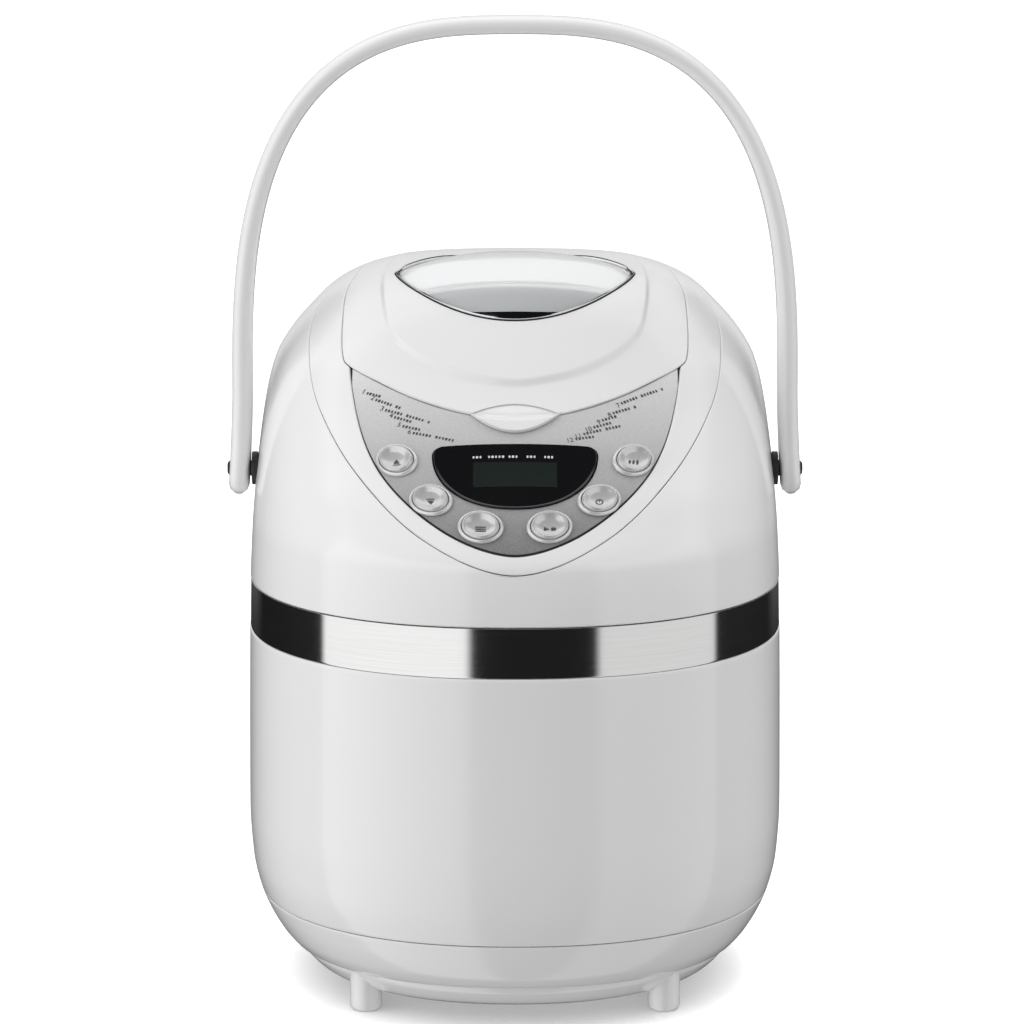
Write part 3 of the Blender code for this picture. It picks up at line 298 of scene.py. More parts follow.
def window_outline(scale=1.0):
    """Pointed oval in the top of the lid: two arcs that meet at its side tips."""
    side = np.cos(TURNS)
    bulge = np.where(np.sin(TURNS) < 0, WINDOW_FRONT, WINDOW_BACK)
    y = WINDOW_TIP_Y + bulge * (1 - np.abs(side) ** WINDOW_POWER) ** WINDOW_BLUNT
    flat = np.stack([WINDOW_HALF * side * scale, WINDOW_Y + (y - WINDOW_Y) * scale,
                     np.full(AROUND, 0.352)], 1)
    return drape(flat)


# ---- materials
def rgb(tone):
    """A colour from three values, or from one for a grey."""
    return tone if isinstance(tone, tuple) else (tone,) * 3


def material(name, color, roughness, metallic=0.0, **more):
    made = bpy.data.materials.new(name)
    made.use_nodes = True
    shader = made.node_tree.nodes["Principled BSDF"]
    shader.inputs["Base Color"].default_value = (*rgb(color), 1.0)
    shader.inputs["Roughness"].default_value = roughness
    shader.inputs["Metallic"].default_value = metallic
    for socket, value in more.items():
        shader.inputs[socket.replace("_", " ")].default_value = value
    return made


def node(made, kind, inputs=(), **settings):
    """A node with its settings, and its inputs set to values or linked to other nodes' outputs."""
    new = made.node_tree.nodes.new(kind)
    for key, value in settings.items():
        setattr(new, key, value)
    for key, value in dict(inputs).items():
        if isinstance(value, bpy.types.NodeSocket):
            made.node_tree.links.new(value, new.inputs[key])
        else:
            new.inputs[key].default_value = value
    return new


def math_of(made, kind, *values, clamp=False):
    return node(made, "ShaderNodeMath", dict(enumerate(values)), operation=kind, use_clamp=clamp).outputs[0]


def feed(made, socket, output):
    """Link an output to the material's shader."""
    made.node_tree.links.new(output, made.node_tree.nodes["Principled BSDF"].inputs[socket])


def texture(made, scale, stretch=(1, 1, 1), detail=3.0):
    """Noise over the object's own coordinates, stretched along its axes."""
    where = node(made, "ShaderNodeTexCoord").outputs["Object"]
    mapped = node(made, "ShaderNodeMapping", {"Vector": where, "Scale": stretch}).outputs[0]
    noise = node(made, "ShaderNodeTexNoise", {"Vector": mapped, "Scale": scale, "Detail": detail})
    return noise.outputs["Fac"]


def finish_with(made, dark, light, grain, rough, bump, wide=None):
    """Colour between two tones, a roughness range and a bump, each from noise."""
    # the mix node keeps one socket set per data type, and sockets 6 and 7 are the two colours
    tones = node(made, "ShaderNodeMix", {"Factor": wide or grain, 6: (*rgb(dark), 1), 7: (*rgb(light), 1)},
                 data_type="RGBA")
    feed(made, "Base Color", tones.outputs[2])
    gloss = node(made, "ShaderNodeMapRange", {"Value": grain, "To Min": rough[0], "To Max": rough[1]})
    feed(made, "Roughness", gloss.outputs[0])
    if bump:
        raised = node(made, "ShaderNodeBump", {"Height": grain, "Strength": bump[0], "Distance": bump[1]})
        feed(made, "Normal", raised.outputs[0])
    return made


def white_plastic(name, tone, rough=(0.14, 0.20)):
    """Glossy moulding with faint clouds in its colour and a slight waviness of its surface."""
    made = material(name, tone, rough[0], Coat_Weight=0.35, Coat_Roughness=0.05, Specular_IOR_Level=0.55)
    return finish_with(made, 0.975 * tone, tone, texture(made, 900.0), rough, (0.05, 0.0001),
                       texture(made, 14.0))


def brushed(name, dark, light, stretch, rough, bump=(0.25, 0.0001)):
    """Metal with long fine scratches across the stretched axis."""
    made = material(name, light, rough[0], 1.0)
    return finish_with(made, dark, light, texture(made, 60.0, stretch, 6.0), rough, bump)


def coated(name, dark, light, rough, scale=1200.0, metallic=0.0, bump=(0.15, 0.0001), **more):
    """Fine-grained coating or moulding."""
    made = material(name, light, rough[0], metallic, **more)
    return finish_with(made, dark, light, texture(made, scale), rough, bump, texture(made, scale / 30))


def graded_lacquer(name, dark, light, low, high):
    """Fine speckled lacquer that grows lighter from a low to a high level."""
    made = material(name, light, 0.38, 0.35)
    where = node(made, "ShaderNodeTexCoord").outputs["Object"]
    height = node(made, "ShaderNodeSeparateXYZ", {"Vector": where}).outputs["Z"]
    level = node(made, "ShaderNodeMapRange", {"Value": height, "From Min": low, "From Max": high})
    grain = texture(made, 2200.0, (1, 1, 1), 5.0)
    speckle = node(made, "ShaderNodeMapRange", {"Value": grain, "From Min": 0.35, "From Max": 0.65,
                                                "To Min": -0.10, "To Max": 0.10})
    tone = math_of(made, "ADD", level.outputs[0], speckle.outputs[0])
    return finish_with(made, dark, light, grain, (0.34, 0.44), (0.35, 0.0001), tone)


WHITE = white_plastic("white_gloss", 0.80)
WHITE_LID = white_plastic("white_lid", 0.80)
# the grip's white is a lighter copy of the body's white: painted light
LIT_GRIP_WHITE = white_plastic("lit_white_grip", 0.84)
# the finger tab's white is a darker copy of the lid's white: painted shade
SHADED_TAB_WHITE = white_plastic("shaded_white_tab", 0.76)
WELL = coated("well_satin", (0.66, 0.66, 0.65), (0.70, 0.70, 0.69), (0.35, 0.45), 700.0)
BAND = brushed("brushed_band", 0.74, (0.88, 0.88, 0.87), (0.35, 0.35, 30.0), (0.07, 0.12), (0.06, 0.00005))
SILVER = graded_lacquer("silver_lacquer", 0.22, 0.90, 0.236, 0.322)
CAP = coated("cap_lacquer", 0.66, 0.74, (0.22, 0.30), 400.0, 0.45, (0.03, 0.00005))
RING = coated("ring_lacquer", 0.76, 0.84, (0.14, 0.20), 400.0, 0.35, (0.02, 0.00005))
CHROME = coated("bright_plate", (0.78, 0.78, 0.79), (0.86, 0.86, 0.87), (0.05, 0.12), 400.0, 1.0,
                (0.02, 0.00005))
WINDOW = coated("window_clear", (0.80, 0.82, 0.83), (0.86, 0.88, 0.89), (0.02, 0.06), 120.0, 0.0, None,
                Transmission_Weight=0.45, IOR=1.5, Coat_Weight=1.0, Coat_Roughness=0.02)
LENS = coated("lens_black", (0.004, 0.004, 0.005), (0.008, 0.008, 0.009), (0.04, 0.08), 500.0, 0.0, None,
              Coat_Weight=1.0, Coat_Roughness=0.02)
LCD = coated("lcd_glass", (0.008, 0.013, 0.011), (0.014, 0.021, 0.018), (0.16, 0.24), 900.0)
INK = coated("printed_ink", 0.05, 0.09, (0.45, 0.6), 900.0, 0.0, None)
WHITE_INK = coated("white_ink", 0.55, 0.7, (0.45, 0.6), 900.0, 0.0, None)
BLACK = coated("black_moulding", (0.015, 0.015, 0.016), (0.03, 0.03, 0.032), (0.35, 0.5))
STEEL = brushed("zinc_plate", 0.38, (0.56, 0.56, 0.55), (1, 1, 12.0), (0.28, 0.42))
ALUMINIUM = brushed("satin_aluminium", (0.55, 0.55, 0.56), (0.70, 0.70, 0.71), (12.0, 1, 1), (0.28, 0.4))
COATING = coated("nonstick", (0.030, 0.030, 0.031), (0.055, 0.055, 0.056), (0.36, 0.5), 1600.0, 0.25)
HEATER = coated("oxidised_sheath", (0.05, 0.045, 0.042), (0.11, 0.10, 0.09), (0.35, 0.55), 600.0, 0.8)
GASKET = coated("silicone_grey", 0.16, 0.22, (0.6, 0.75), 900.0)
BOARD = coated("solder_mask", (0.02, 0.13, 0.06), (0.04, 0.20, 0.09), (0.3, 0.45), 350.0)
BELT = coated("belt_rubber", 0.015, 0.03, (0.6, 0.75), 900.0)


# ---- pieces
def in_scene(name, data):
    made = bpy.data.objects.new(name, data)
    bpy.context.scene.collection.objects.link(made)
    return made


def final_mesh(item):
    """The mesh of an object after its modifiers, or of a text."""
    bpy.context.view_layer.update()
    return bpy.data.meshes.new_from_object(item.evaluated_get(bpy.context.evaluated_depsgraph_get()))


def place(name, mesh, surface, body, replaced=()):
    """A finished piece that rides on a body and stands for the model's nodes."""
    made = in_scene(name, mesh)
    mesh.materials.append(surface)
    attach(made, body)
    if replaced:
        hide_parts(*replaced)
    return made


def tidy(mesh, sharp=40.0):
    """Faces out and smooth shading with sharp creases."""
    work = bmesh.new()
    work.from_mesh(mesh)
    bmesh.ops.recalc_face_normals(work, faces=work.faces)
    work.to_mesh(mesh)
    work.free()
    mesh.shade_smooth()
    mesh.set_sharp_from_angle(angle=math.radians(sharp))
    return mesh


def skin(rows, looped=False, sharp=40.0):
    """Mesh over rows of points around; the last row joins the first, or both ends are closed."""
    rows = np.array(rows)
    count, around = rows.shape[:2]
    vertices = rows.reshape(-1, 3).tolist()
    spans = count if looped else count - 1
    here = np.arange(around)
    there = (here + 1) % around
    faces = []
    for i in range(spans):
        a, b = i * around, ((i + 1) % count) * around
        faces += np.stack([a + here, a + there, b + there, b + here], 1).tolist()
    if not looped:
        for row, base in ((rows[0], 0), (rows[-1], (count - 1) * around)):
            vertices.append(row.mean(0).tolist())
            middle = len(vertices) - 1
            faces += [(base + k, base + (k + 1) % around, middle) for k in range(around)]
    mesh = bpy.data.meshes.new("skin")
    mesh.from_pydata(vertices, [], faces)
    return tidy(mesh, sharp)


def edge_rows(edge, inside, lip):
    """Quarter-round rows from an edge's side up onto the surface."""
    along = inside - edge
    along = along / np.linalg.norm(along, axis=1, keepdims=True)
    rows = []
    for turn in np.radians((0, 30, 60, 90)):
        rows.append(sink(drape(edge + along * lip * (1 - math.cos(turn))), lip * (1 - math.sin(turn))))
    return rows


def cover_rows(outlines, lip=LIP, wall=WALL):
    """Rows of a closed cover with rounded edges, over outlines on the body form."""
    first = edge_rows(outlines[0], outlines[1], lip)
    last = edge_rows(outlines[-1], outlines[-2], lip)
    inner = [outlines[0]] + list(outlines[1:-1:4]) + [outlines[-1]]
    inner = [sink(row, wall) for row in inner]
    return first, list(outlines[1:-1]), last[::-1], inner[::-1]


def turned(profile, centre, facing, closed=True):
    """Mesh of a profile of (radius, height), turned about a line through the centre."""
    frame_of = Vector(facing).to_track_quat("Z", "Y").to_matrix()
    rows = []
    for radius, height in profile:
        ring = [Vector(centre) + frame_of @ Vector((radius * math.cos(a), radius * math.sin(a), height))
                for a in np.linspace(0, math.tau, 64, endpoint=False)]
        rows.append([tuple(p) for p in ring])
    return skin(rows, looped=not closed)


def rounded(profile, radius):
    """A profile with its inner corners rounded by an arc of the given radius."""
    result = [profile[0]]
    for before, here, after in zip(profile, profile[1:], profile[2:]):
        b, h, a = (np.array(p, float) for p in (before, here, after))
        into, out = b - h, a - h
        reach_in = min(radius, np.linalg.norm(into) / 2.2, np.linalg.norm(out) / 2.2)
        start = h + into / np.linalg.norm(into) * reach_in
        end = h + out / np.linalg.norm(out) * reach_in
        for k in range(4):
            t = k / 3
            result.append(tuple((1 - t) ** 2 * start + 2 * t * (1 - t) * h + t * t * end))
    return result + [profile[-1]]


def cut(target, cutters):
    """Take cutter meshes out of a piece for good."""
    for cutter in cutters:
        step = target.modifiers.new("cut", "BOOLEAN")
        step.operation = "DIFFERENCE"
        step.solver = "MANIFOLD"
        step.object = in_scene("cutter", cutter)
    done = final_mesh(target)
    for step in list(target.modifiers):
        tool = step.object
        target.modifiers.remove(step)
        bpy.data.objects.remove(tool)
    target.data = done
    tidy(done)


def circle(centre, radius, z, count=96):
    around = np.linspace(0, math.tau, count, endpoint=False)
    return np.stack([centre[0] + radius * np.cos(around), centre[1] + radius * np.sin(around),
                     np.full(count, z)], 1)


def graded(first, low, high, count, last):
    """Even steps from low to high, between closer first and last ones."""
    return np.concatenate([first, np.linspace(low, high, count), last])


def ring_rows(heights):
    return [on_section(TURNS, z) for z in heights]


# ---- casing
LEDGE_HEIGHTS = (0.0078, 0.0120, 0.0190, 0.0206, 0.0216, 0.0232, 0.0420)
LEDGE_STEPS = (0.0, 0.0010, 0.0002, -0.0009, -0.0004, 0.0008, 0.0)
# share of a foot's radius and height, from the sole up to its side
FOOT_PROFILE = ((0.30, 0.0), (0.76, 0.0), (0.88, 0.0003), (0.95, 0.0010), (0.99, 0.0020), (1.0, 0.0034),
                (1.0, 0.0060))


def casing_base():
    """Tray under the casing with a fine ledge around it and a flat sole."""
    heights = np.concatenate([np.linspace(0.0078, 0.0190, 12),
                              [0.0200, 0.0206, 0.0212, 0.0218, 0.0226, 0.0236],
                              np.linspace(0.0250, BASE_SEAM - GAP, 22)])
    outlines = ring_rows(heights)
    steps = np.interp(heights, LEDGE_HEIGHTS, LEDGE_STEPS)
    outer = [sink(row, -step) for row, step in zip(outlines, steps)]
    top = edge_rows(outlines[-1], outlines[-2], LIP)[::-1]
    inner = [sink(row, WALL) for row in outlines[:-1:6]][::-1]
    sole = ring_rows([HEIGHTS[0]])[0]
    middle = sole.mean(0)
    bottom = [middle + (sole - middle) * share + UP * up
              for share, up in ((0.50, 0.0020), (0.55, 0.0020), (0.56, 0), (0.97, 0), (0.985, 0))]
    place("casing_base", skin(bottom + outer[1:-1] + top + inner), WHITE, "root",
          ["base_tray"])


def feet():
    """Round feet that grow out of the tray, with a softened sole."""
    for name in ("foot_front_left", "foot_front_right", "foot_rear_left", "foot_rear_right"):
        low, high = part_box(name)
        centre = (low + high) / 2
        radius = (high.x - low.x) / 2
        rows = [circle(centre, radius * share, height) for share, height in FOOT_PROFILE]
        for share, above in ((1.0, 0.0001), (1.0, 0.0008), (0.5, 0.0012)):
            rows.append(drape(circle(centre, radius * share, 0.040), -UP) + UP * above)
        place(f"{name}_pad", skin(rows), WHITE, "root", [name])


def cover(name, rows, body, replaced, surface=WHITE):
    """A white cover that stands for one node."""
    return place(name, skin(rows, True), surface, body, [replaced])


def through(outline, reach_of):
    """A cutter: an outline in the plane of X and Z, drawn out along Y."""
    return skin([[(x, y, z) for x, z in outline] for y in reach_of])


def casing_lower():
    heights = graded([BASE_SEAM + GAP], BASE_SEAM + 0.0025, BAND_LOW - 0.0025, 46, [BAND_LOW - GAP])
    casing = cover("casing_lower", sum(cover_rows(ring_rows(heights)), []), "root", "lower_shell")
    inlet = rounded_box(0.0, INLET_Z, INLET_WIDTH, INLET_HEIGHT, INLET_CORNER)
    cut(casing, [through(inlet, INLET_CUT)])


def waist_band():
    heights = graded([BAND_LOW], BAND_LOW + 0.001, BAND_HIGH - 0.001, 9, [BAND_HIGH - GAP])
    first, outer, last, inner = cover_rows(ring_rows(heights), 0.0003, 0.0013)
    rows = [sink(row, 0.0003) for row in first + outer + last] + inner
    place("waist_band", skin(rows, True), BAND, "root", ["steel_band"])


def vent_cutters():
    """Slots with round ends, on each side behind the handle."""
    made = []
    radius, straight = VENT_WIDTH / 2, (VENT_HEIGHT - VENT_WIDTH) / 2
    for side in (-1, 1):
        for row in range(VENT_COUNT):
            outline = []
            for a in math.tau * (np.arange(16) + 0.5) / 16:
                outline.append((VENT_FIRST + VENT_PITCH * row + radius * math.cos(a),
                                VENT_Z + math.copysign(straight, math.sin(a)) + radius * math.sin(a)))
            made.append(skin([[(side * x, y, z) for y, z in outline] for x in VENT_CUT]))
    return made


def casing_upper():
    angles = angle_of(SEAM)
    heights = SEAM[:, 2] - GAP
    outlines = []
    for t in graded([0.0, 0.012], 0.03, 0.97, 44, [0.988, 1.0]):
        outlines.append(on_section(angles, (BAND_HIGH + GAP) * (1 - t) + heights * t))
    shell = cover("casing_upper", sum(cover_rows(outlines), []), "root", "upper_shell")
    cut(shell, vent_cutters())


def lid_surround():
    seam = on_section(angle_of(SEAM), SEAM[:, 2] + GAP)
    outlines = between(seam, TOP_OPENING, graded([0.0, 0.04], 0.09, 0.91, 22, [0.96, 1.0]))
    surround = cover("lid_surround", sum(cover_rows(outlines), []), "root", "top_bezel")
    half, low, high = NOTCH_HALF, NOTCH_LOW, NOTCH_HIGH
    notch = [(-half, low), (half, low), (half, high), (-half, high)]
    cut(surround, [through(notch, NOTCH_CUT)])


# ---- lid
CREASE_HALF = [(0.0, -0.0630), (0.0168, -0.0609), (0.0339, -0.0555), (0.0502, -0.0457), (0.0617, -0.0330),
               (0.0661, -0.0171), (0.0674, 0.0044), (0.0650, 0.0250), (0.0590, 0.0500), (0.0530, 0.0800),
               (0.0430, 0.1000), (0.0240, 0.1100), (0.0, 0.1130)]
LID_MIDDLE = np.array((0.0, 0.0200))
CREASE_STEP, SWELL, DOME = 0.0018, 0.0014, 0.0067
FADE_FRONT, FADE_BACK = 0.0, 0.034            # the lid's middle comes level again behind the window
FRONT_SHADE_HALF, FRONT_SHADE_DEEP = 0.0240, 0.0043     # black sheet over the front of the window's dome: painted shade, the dark crescent the dome shows there
BACK_DIP, BACK_DIP_HALF = 0.0013, 0.0360      # the rim sinks level with the lid at the window's back
DISH_HALF, DISH_LONG, DISH_LOW, DISH_BACK = 0.0655, 0.0745, 0.2970, 0.1050
# scale and height of the rings around the dish's floor and its opening under the window
DISH_FLOOR = ((0.993, 0.0008), (0.980, 0.0002), (0.96, 0), (0.80, 0), (0.64, 0), (0.625, 0.0003),
              (0.62, 0.0010), (0.625, 0.0015), (0.80, 0.0015))
# scale of the rings and depth below the lid's surface, around the window
# the black ring just outside the bright rim paints the shadow line around the window
RIM_SHADOW_LEVELS = ((1.034, 0.0040), (1.034, -0.0001), (1.031, -0.0004), (1.027, -0.0001), (1.027, 0.0040))
FRAME_LEVELS = ((1.026, 0.0010), (1.026, -0.0004), (1.020, -0.0010), (1.010, -0.0012),
                (0.998, -0.0007), (0.992, 0.0004), (0.992, 0.0030), (1.026, 0.0030))
DOME_RINGS = (0.986, 0.975, 0.96, 0.94, 0.91, 0.87, 0.82, 0.76, 0.68, 0.58, 0.47, 0.35, 0.22, 0.08)
TAB_HALF, TAB_HIGH, TAB_LOW, TAB_CREASE = 0.0222, 0.0085, 0.0088, 0.0024


def crease_share(points):
    """Plan distance from the lid's middle as a share of the crease's distance that way."""
    fine = smooth_loop(mirrored(np.array(CREASE_HALF)) - LID_MIDDLE, 12)
    angles = np.arctan2(fine[:, 0], -fine[:, 1]) % math.tau
    order = np.argsort(angles)
    radii = np.linalg.norm(fine, axis=1)[order]
    flat = points[..., :2] - LID_MIDDLE
    want = np.arctan2(flat[..., 0], -flat[..., 1]) % math.tau
    return np.linalg.norm(flat, axis=-1) / np.interp(want, angles[order], radii, period=math.tau)


def lid_rise(points):
    """How far the lid's middle dome stands up inside its crease, most in the middle."""
    share = crease_share(points)
    t = np.clip((1.012 - share) / 0.040, 0, 1)
    fade = np.clip((points[..., 1] - FADE_FRONT) / (FADE_BACK - FADE_FRONT), 0, 1)
    rise = CREASE_STEP * t * t * (3 - 2 * t) + SWELL * np.clip(1 - share**2, 0, 1)
    return rise * (1 - 0.9 * fade * fade * (3 - 2 * fade))


def lid_shell():
    """Lid cover whose rows gather at the crease, so that its step stays crisp."""
    edge = spread(LID_EDGE, -GAP)
    inside = window_outline(1.035)
    coarse = np.linspace(0, 1, 200)
    within = np.stack([crease_share(edge + (inside - edge) * t) < 1.0 for t in coarse])
    crossing = np.where(within.any(0), coarse[within.argmax(0)], 0.5)
    steps = [t * crossing for t in graded([0.02, 0.05], 0.12, 0.88, 11, [])]
    steps += [np.clip(crossing + d, 0.01, 0.97) for d in np.linspace(-0.030, 0.075, 12)]
    steps += [np.maximum(crossing + (1 - crossing) * t, crossing + 0.08)
              for t in graded([], 0.16, 0.92, 14, [0.985])]
    outlines = [edge] + [drape(edge + (inside - edge) * t[:, None], UP) for t in steps] + [inside]
    first, outer, last, inner = cover_rows(outlines)
    inner = [sink(drape(edge + (inside - edge) * t, UP), WALL)
             for t in (1.0, 0.93, 0.84, 0.72, 0.6, 0.48, 0.36, 0.25, 0.15, 0.07, 0.0)]
    last = [sink(row, -lid_rise(row)) for row in last]
    outer = [sink(row, -lid_rise(row)) for row in outer]
    return cover("lid_shell", first + outer + last + inner, "lid", "lid_outer", WHITE_LID)


def dish_ring(scale, z):
    """Rounded square above the loaf, from the middle of its front around."""
    c, s = np.cos(TURNS), np.sin(TURNS)
    r = (np.abs(c) ** 4 + np.abs(s) ** 4) ** -0.25
    return np.stack([DISH_HALF * scale * r * c, BODY_CENTRE[1] + DISH_LONG * scale * r * s,
                     np.full(AROUND, z)], 1)


def lid_dish():
    """Inner skin of the lid: a dish from under the cover's edge down to the gasket's seat."""
    seat = dish_ring(1.0, DISH_LOW + 0.0015)
    rim = spread(LID_EDGE, -0.0030)
    rim[:, 1] = np.minimum(rim[:, 1], DISH_BACK)
    rim = sink(drape(beside(rim, seat), UP), WALL + 0.0022)
    towards = np.array((0.0, 0.02, 0.0)) - rim * (1, 1, 0)
    rim_inside = rim + towards / np.linalg.norm(towards, axis=1, keepdims=True) * 0.0016
    seat_inside = dish_ring(0.95, DISH_LOW + 0.0015)
    wall = [rim + (seat - rim) * t for t in (0, 0.02, 0.15, 0.3, 0.45, 0.6, 0.75, 0.9, 0.97, 1.0)]
    back = [seat_inside + (rim_inside - seat_inside) * t for t in (0, 0.25, 0.5, 0.75, 1.0)]
    floor = [dish_ring(scale, DISH_LOW + up) for scale, up in DISH_FLOOR]
    place("lid_dish", skin(wall + floor + back, True), ALUMINIUM, "lid", ["lid_liner"])


def window_row(scale, depth):
    outline = window_outline(scale)
    return sink(outline, depth - lid_rise(outline))


def dome_row(scale, depth):
    """Ring of the window's dome, which swells most in its middle."""
    return window_row(scale, depth - DOME * (1 - scale**2.4))


def window():
    """Bright rim in a black ring that paints the shadow line around it, around a clear dome that swells
    above the lid, with a black sheet that paints the shade at the dome's front.
    """
    place("window_rim_shadow", skin([window_row(*level) for level in RIM_SHADOW_LEVELS], True), BLACK, "lid")
    flat = window_outline()
    dip = BACK_DIP * np.clip(1 - (flat[:, 0] / BACK_DIP_HALF) ** 2, 0, 1) * (flat[:, 1] > WINDOW_TIP_Y)
    place("window_frame", skin([window_row(scale, depth + dip) for scale, depth in FRAME_LEVELS], True),
          CHROME, "lid", ["window_rim"])
    rows = [dome_row(scale, 0.0006) for scale in DOME_RINGS]
    under = [sink(row, 0.0022) for row in rows[::2]]
    place("window_dome", skin(under[::-1] + rows), WINDOW, "lid", ["lid_window"])
    # a black sheet over the dome's front paints the shade that darkens it there
    side = WINDOW_HALF * np.cos(TURNS)
    at_front = [k for k in range(-AROUND // 4, AROUND // 4) if abs(side[k]) < FRONT_SHADE_HALF]
    inward = FRONT_SHADE_DEEP * (1 - (side / FRONT_SHADE_HALF) ** 2) / -WINDOW_FRONT
    grid = [dome_row(np.clip(0.984 - inward * t, 0.5, 1.0), 0.0004)[at_front] for t in np.linspace(0, 1, 9)]
    place("window_front_shade", plate_mesh(grid, UP * -0.0004), LENS, "lid")


def tab_row(scale, upper, lower):
    """Ring of the finger tab: its depth above and below the crease along the lid's edge line."""
    angle = np.linspace(0, math.tau, 128, endpoint=False)
    x = TAB_HALF * np.cos(angle) * scale
    off = np.where(np.sin(angle) > 0, TAB_HIGH, -TAB_LOW) * (1 - np.abs(np.cos(angle)) ** 1.9) * scale
    blend = np.clip(0.5 + off / 0.0030, 0, 1)
    groove = 0.0006 * np.clip(1 - np.abs(off) / TAB_CREASE, 0, 1) if scale < 0.99 else 0 * x
    return sink(on_panel(x, panel_upper(x) + off), blend * upper + (1 - blend) * lower + groove)


def lid_tab(lid):
    """Lens-shaped finger tab: its upper half is a scoop in the lid, its lower half a lip."""
    levels = [(1.0, 0.0012, 0.0002), (1.0, 0.0009, -0.0009), (0.994, 0.0008, -0.0014),
              (0.98, 0.0008, -0.0017)]
    levels += [(s, 0.0008 - 0.0018 * (1 - s), -0.0018 + 0.0003 * (1 - s))
               for s in (0.94, 0.87, 0.78, 0.68, 0.56, 0.44, 0.32, 0.2, 0.08)]
    cut(lid, [skin([tab_row(1.008, 0.0013, 0.0013), tab_row(1.008, -0.0070, -0.0070)])])
    place("lid_tab", skin([tab_row(*level) for level in levels], sharp=25), SHADED_TAB_WHITE, "lid")


# ---- control panel
# start and end of each programme's line on the panel
LIST_ROWS = [(-0.0760, 0.0684, -0.0659, 0.0629), (-0.0714, 0.0634, -0.0562, 0.0540),
             (-0.0666, 0.0559, -0.0410, 0.0430), (-0.0620, 0.0507, -0.0508, 0.0450),
             (-0.0579, 0.0444, -0.0466, 0.0396), (-0.0528, 0.0392, -0.0292, 0.0310),
             (0.0502, 0.0550, 0.0745, 0.0701), (0.0459, 0.0487, 0.0605, 0.0561),
             (0.0405, 0.0437, 0.0504, 0.0485), (0.0353, 0.0387, 0.0488, 0.0447),
             (0.0302, 0.0342, 0.0531, 0.0432), (0.0261, 0.0313, 0.0390, 0.0346)]
# start and length of each group of bars above the screen
LABEL_BARS = ((-0.0208, 0.0056), (-0.0132, 0.0080), (-0.0032, 0.0050), (0.0056, 0.0052), (0.0142, 0.0056))
DASH, DASH_GAP, INK_THICK = 0.0010, 0.0007, 0.00004


def button_places():
    spots = BUTTON_SPOTS + [(-x, up) for x, up in reversed(BUTTON_SPOTS)]
    centres = np.array([on_panel(x, up) for x, up in spots])
    return list(zip(centres, normal(centres)))


def plate_mesh(grid, lower, upper=0.0):
    """A closed thin plate over rows of points, between two offsets from them."""
    grid = np.array(grid)
    rows, columns = grid.shape[:2]
    vertices = np.vstack([(grid + upper).reshape(-1, 3), (grid + lower).reshape(-1, 3)])
    half = rows * columns
    faces = []
    for i in range(rows - 1):
        for k in range(columns - 1):
            a = i * columns + k
            faces.append((a, a + 1, a + columns + 1, a + columns))
            faces.append((half + a, half + a + columns, half + a + columns + 1, half + a + 1))
    edge = list(range(columns)) + [i * columns + columns - 1 for i in range(1, rows)]
    edge += [(rows - 1) * columns + k for k in range(columns - 2, -1, -1)]
    edge += [i * columns for i in range(rows - 2, 0, -1)]
    for a, b in zip(edge, edge[1:] + edge[:1]):
        faces.append((a, b, half + b, half + a))
    mesh = bpy.data.meshes.new("plate")
    mesh.from_pydata(vertices.tolist(), [], faces)
    return tidy(mesh)


def control_plate():
    """Silver plate with holes for the buttons and the lens, and a black strip under its lower edge that
    paints the shade in the seam.
    """
    columns, rows = 150, 36
    x = (PANEL_END - PANEL_SEAM) * np.sin(np.linspace(-math.pi / 2, math.pi / 2, columns))
    low, high = panel_lower(x) + PANEL_SEAM + 0.0004, panel_upper(x) - 0.0004
    high = np.maximum(high, low + 0.0003)
    grid = [sink(on_panel(x, low + (high - low) * t), PANEL_SUNK) for t in np.linspace(0, 1, rows)]
    plate = place("control_plate", plate_mesh(grid, -PANEL_NORMAL * PANEL_THICK), SILVER, "root",
                  ["panel_plate"])
    # a black strip in the seam below the plate's lower edge: painted shade of the gap
    x = np.linspace(-PANEL_END, PANEL_END, columns) * 0.999
    strip = [np.minimum(panel_lower(x) + width, panel_upper(x)) for width in (0.0001, 0.0012, 0.0024)]
    strip = [sink(on_panel(x, up), PANEL_SUNK + 0.0004) for up in strip]
    place("panel_seam_shade", plate_mesh(strip, -PANEL_NORMAL * 0.0010), BLACK, "root")
    hole = BUTTON_R + 0.0014
    cutters = [oval(turned([(hole, -0.006), (hole, 0.006)], centre, facing), i)
               for i, (centre, facing) in enumerate(button_places(), 1)]
    outline = lens_outline(1.02)
    cutters.append(skin([panel_point(*outline.T) + PANEL_NORMAL * h
                         for h in (-0.014, 0.014)]))
    cut(plate, cutters)


def lens_outline(grow=1.0):
    """The display lens in panel measures: straight top with round corners over a deep arc."""
    corner = 0.0045
    angle = np.radians(np.linspace(180, 360, 97))
    c = np.cos(angle)
    lower = np.stack([LENS_HALF * np.sign(c) * np.abs(c) ** 0.92,
                      LENS_TOP - corner + (LENS_DEEP - corner) * np.sin(angle)], 1)
    turns = np.radians(np.linspace(0, 90, 13)[1:])
    right = np.stack([LENS_HALF - corner + corner * np.cos(turns),
                      LENS_TOP - corner + corner * np.sin(turns)], 1)
    left = right[::-1] * (-1, 1)
    outline = resample(np.vstack([lower, right, left[:-1]]), 240)
    middle = LENS_TOP - LENS_DEEP / 2
    return np.stack([outline[:, 0] * grow, middle + (outline[:, 1] - middle) * grow], 1)


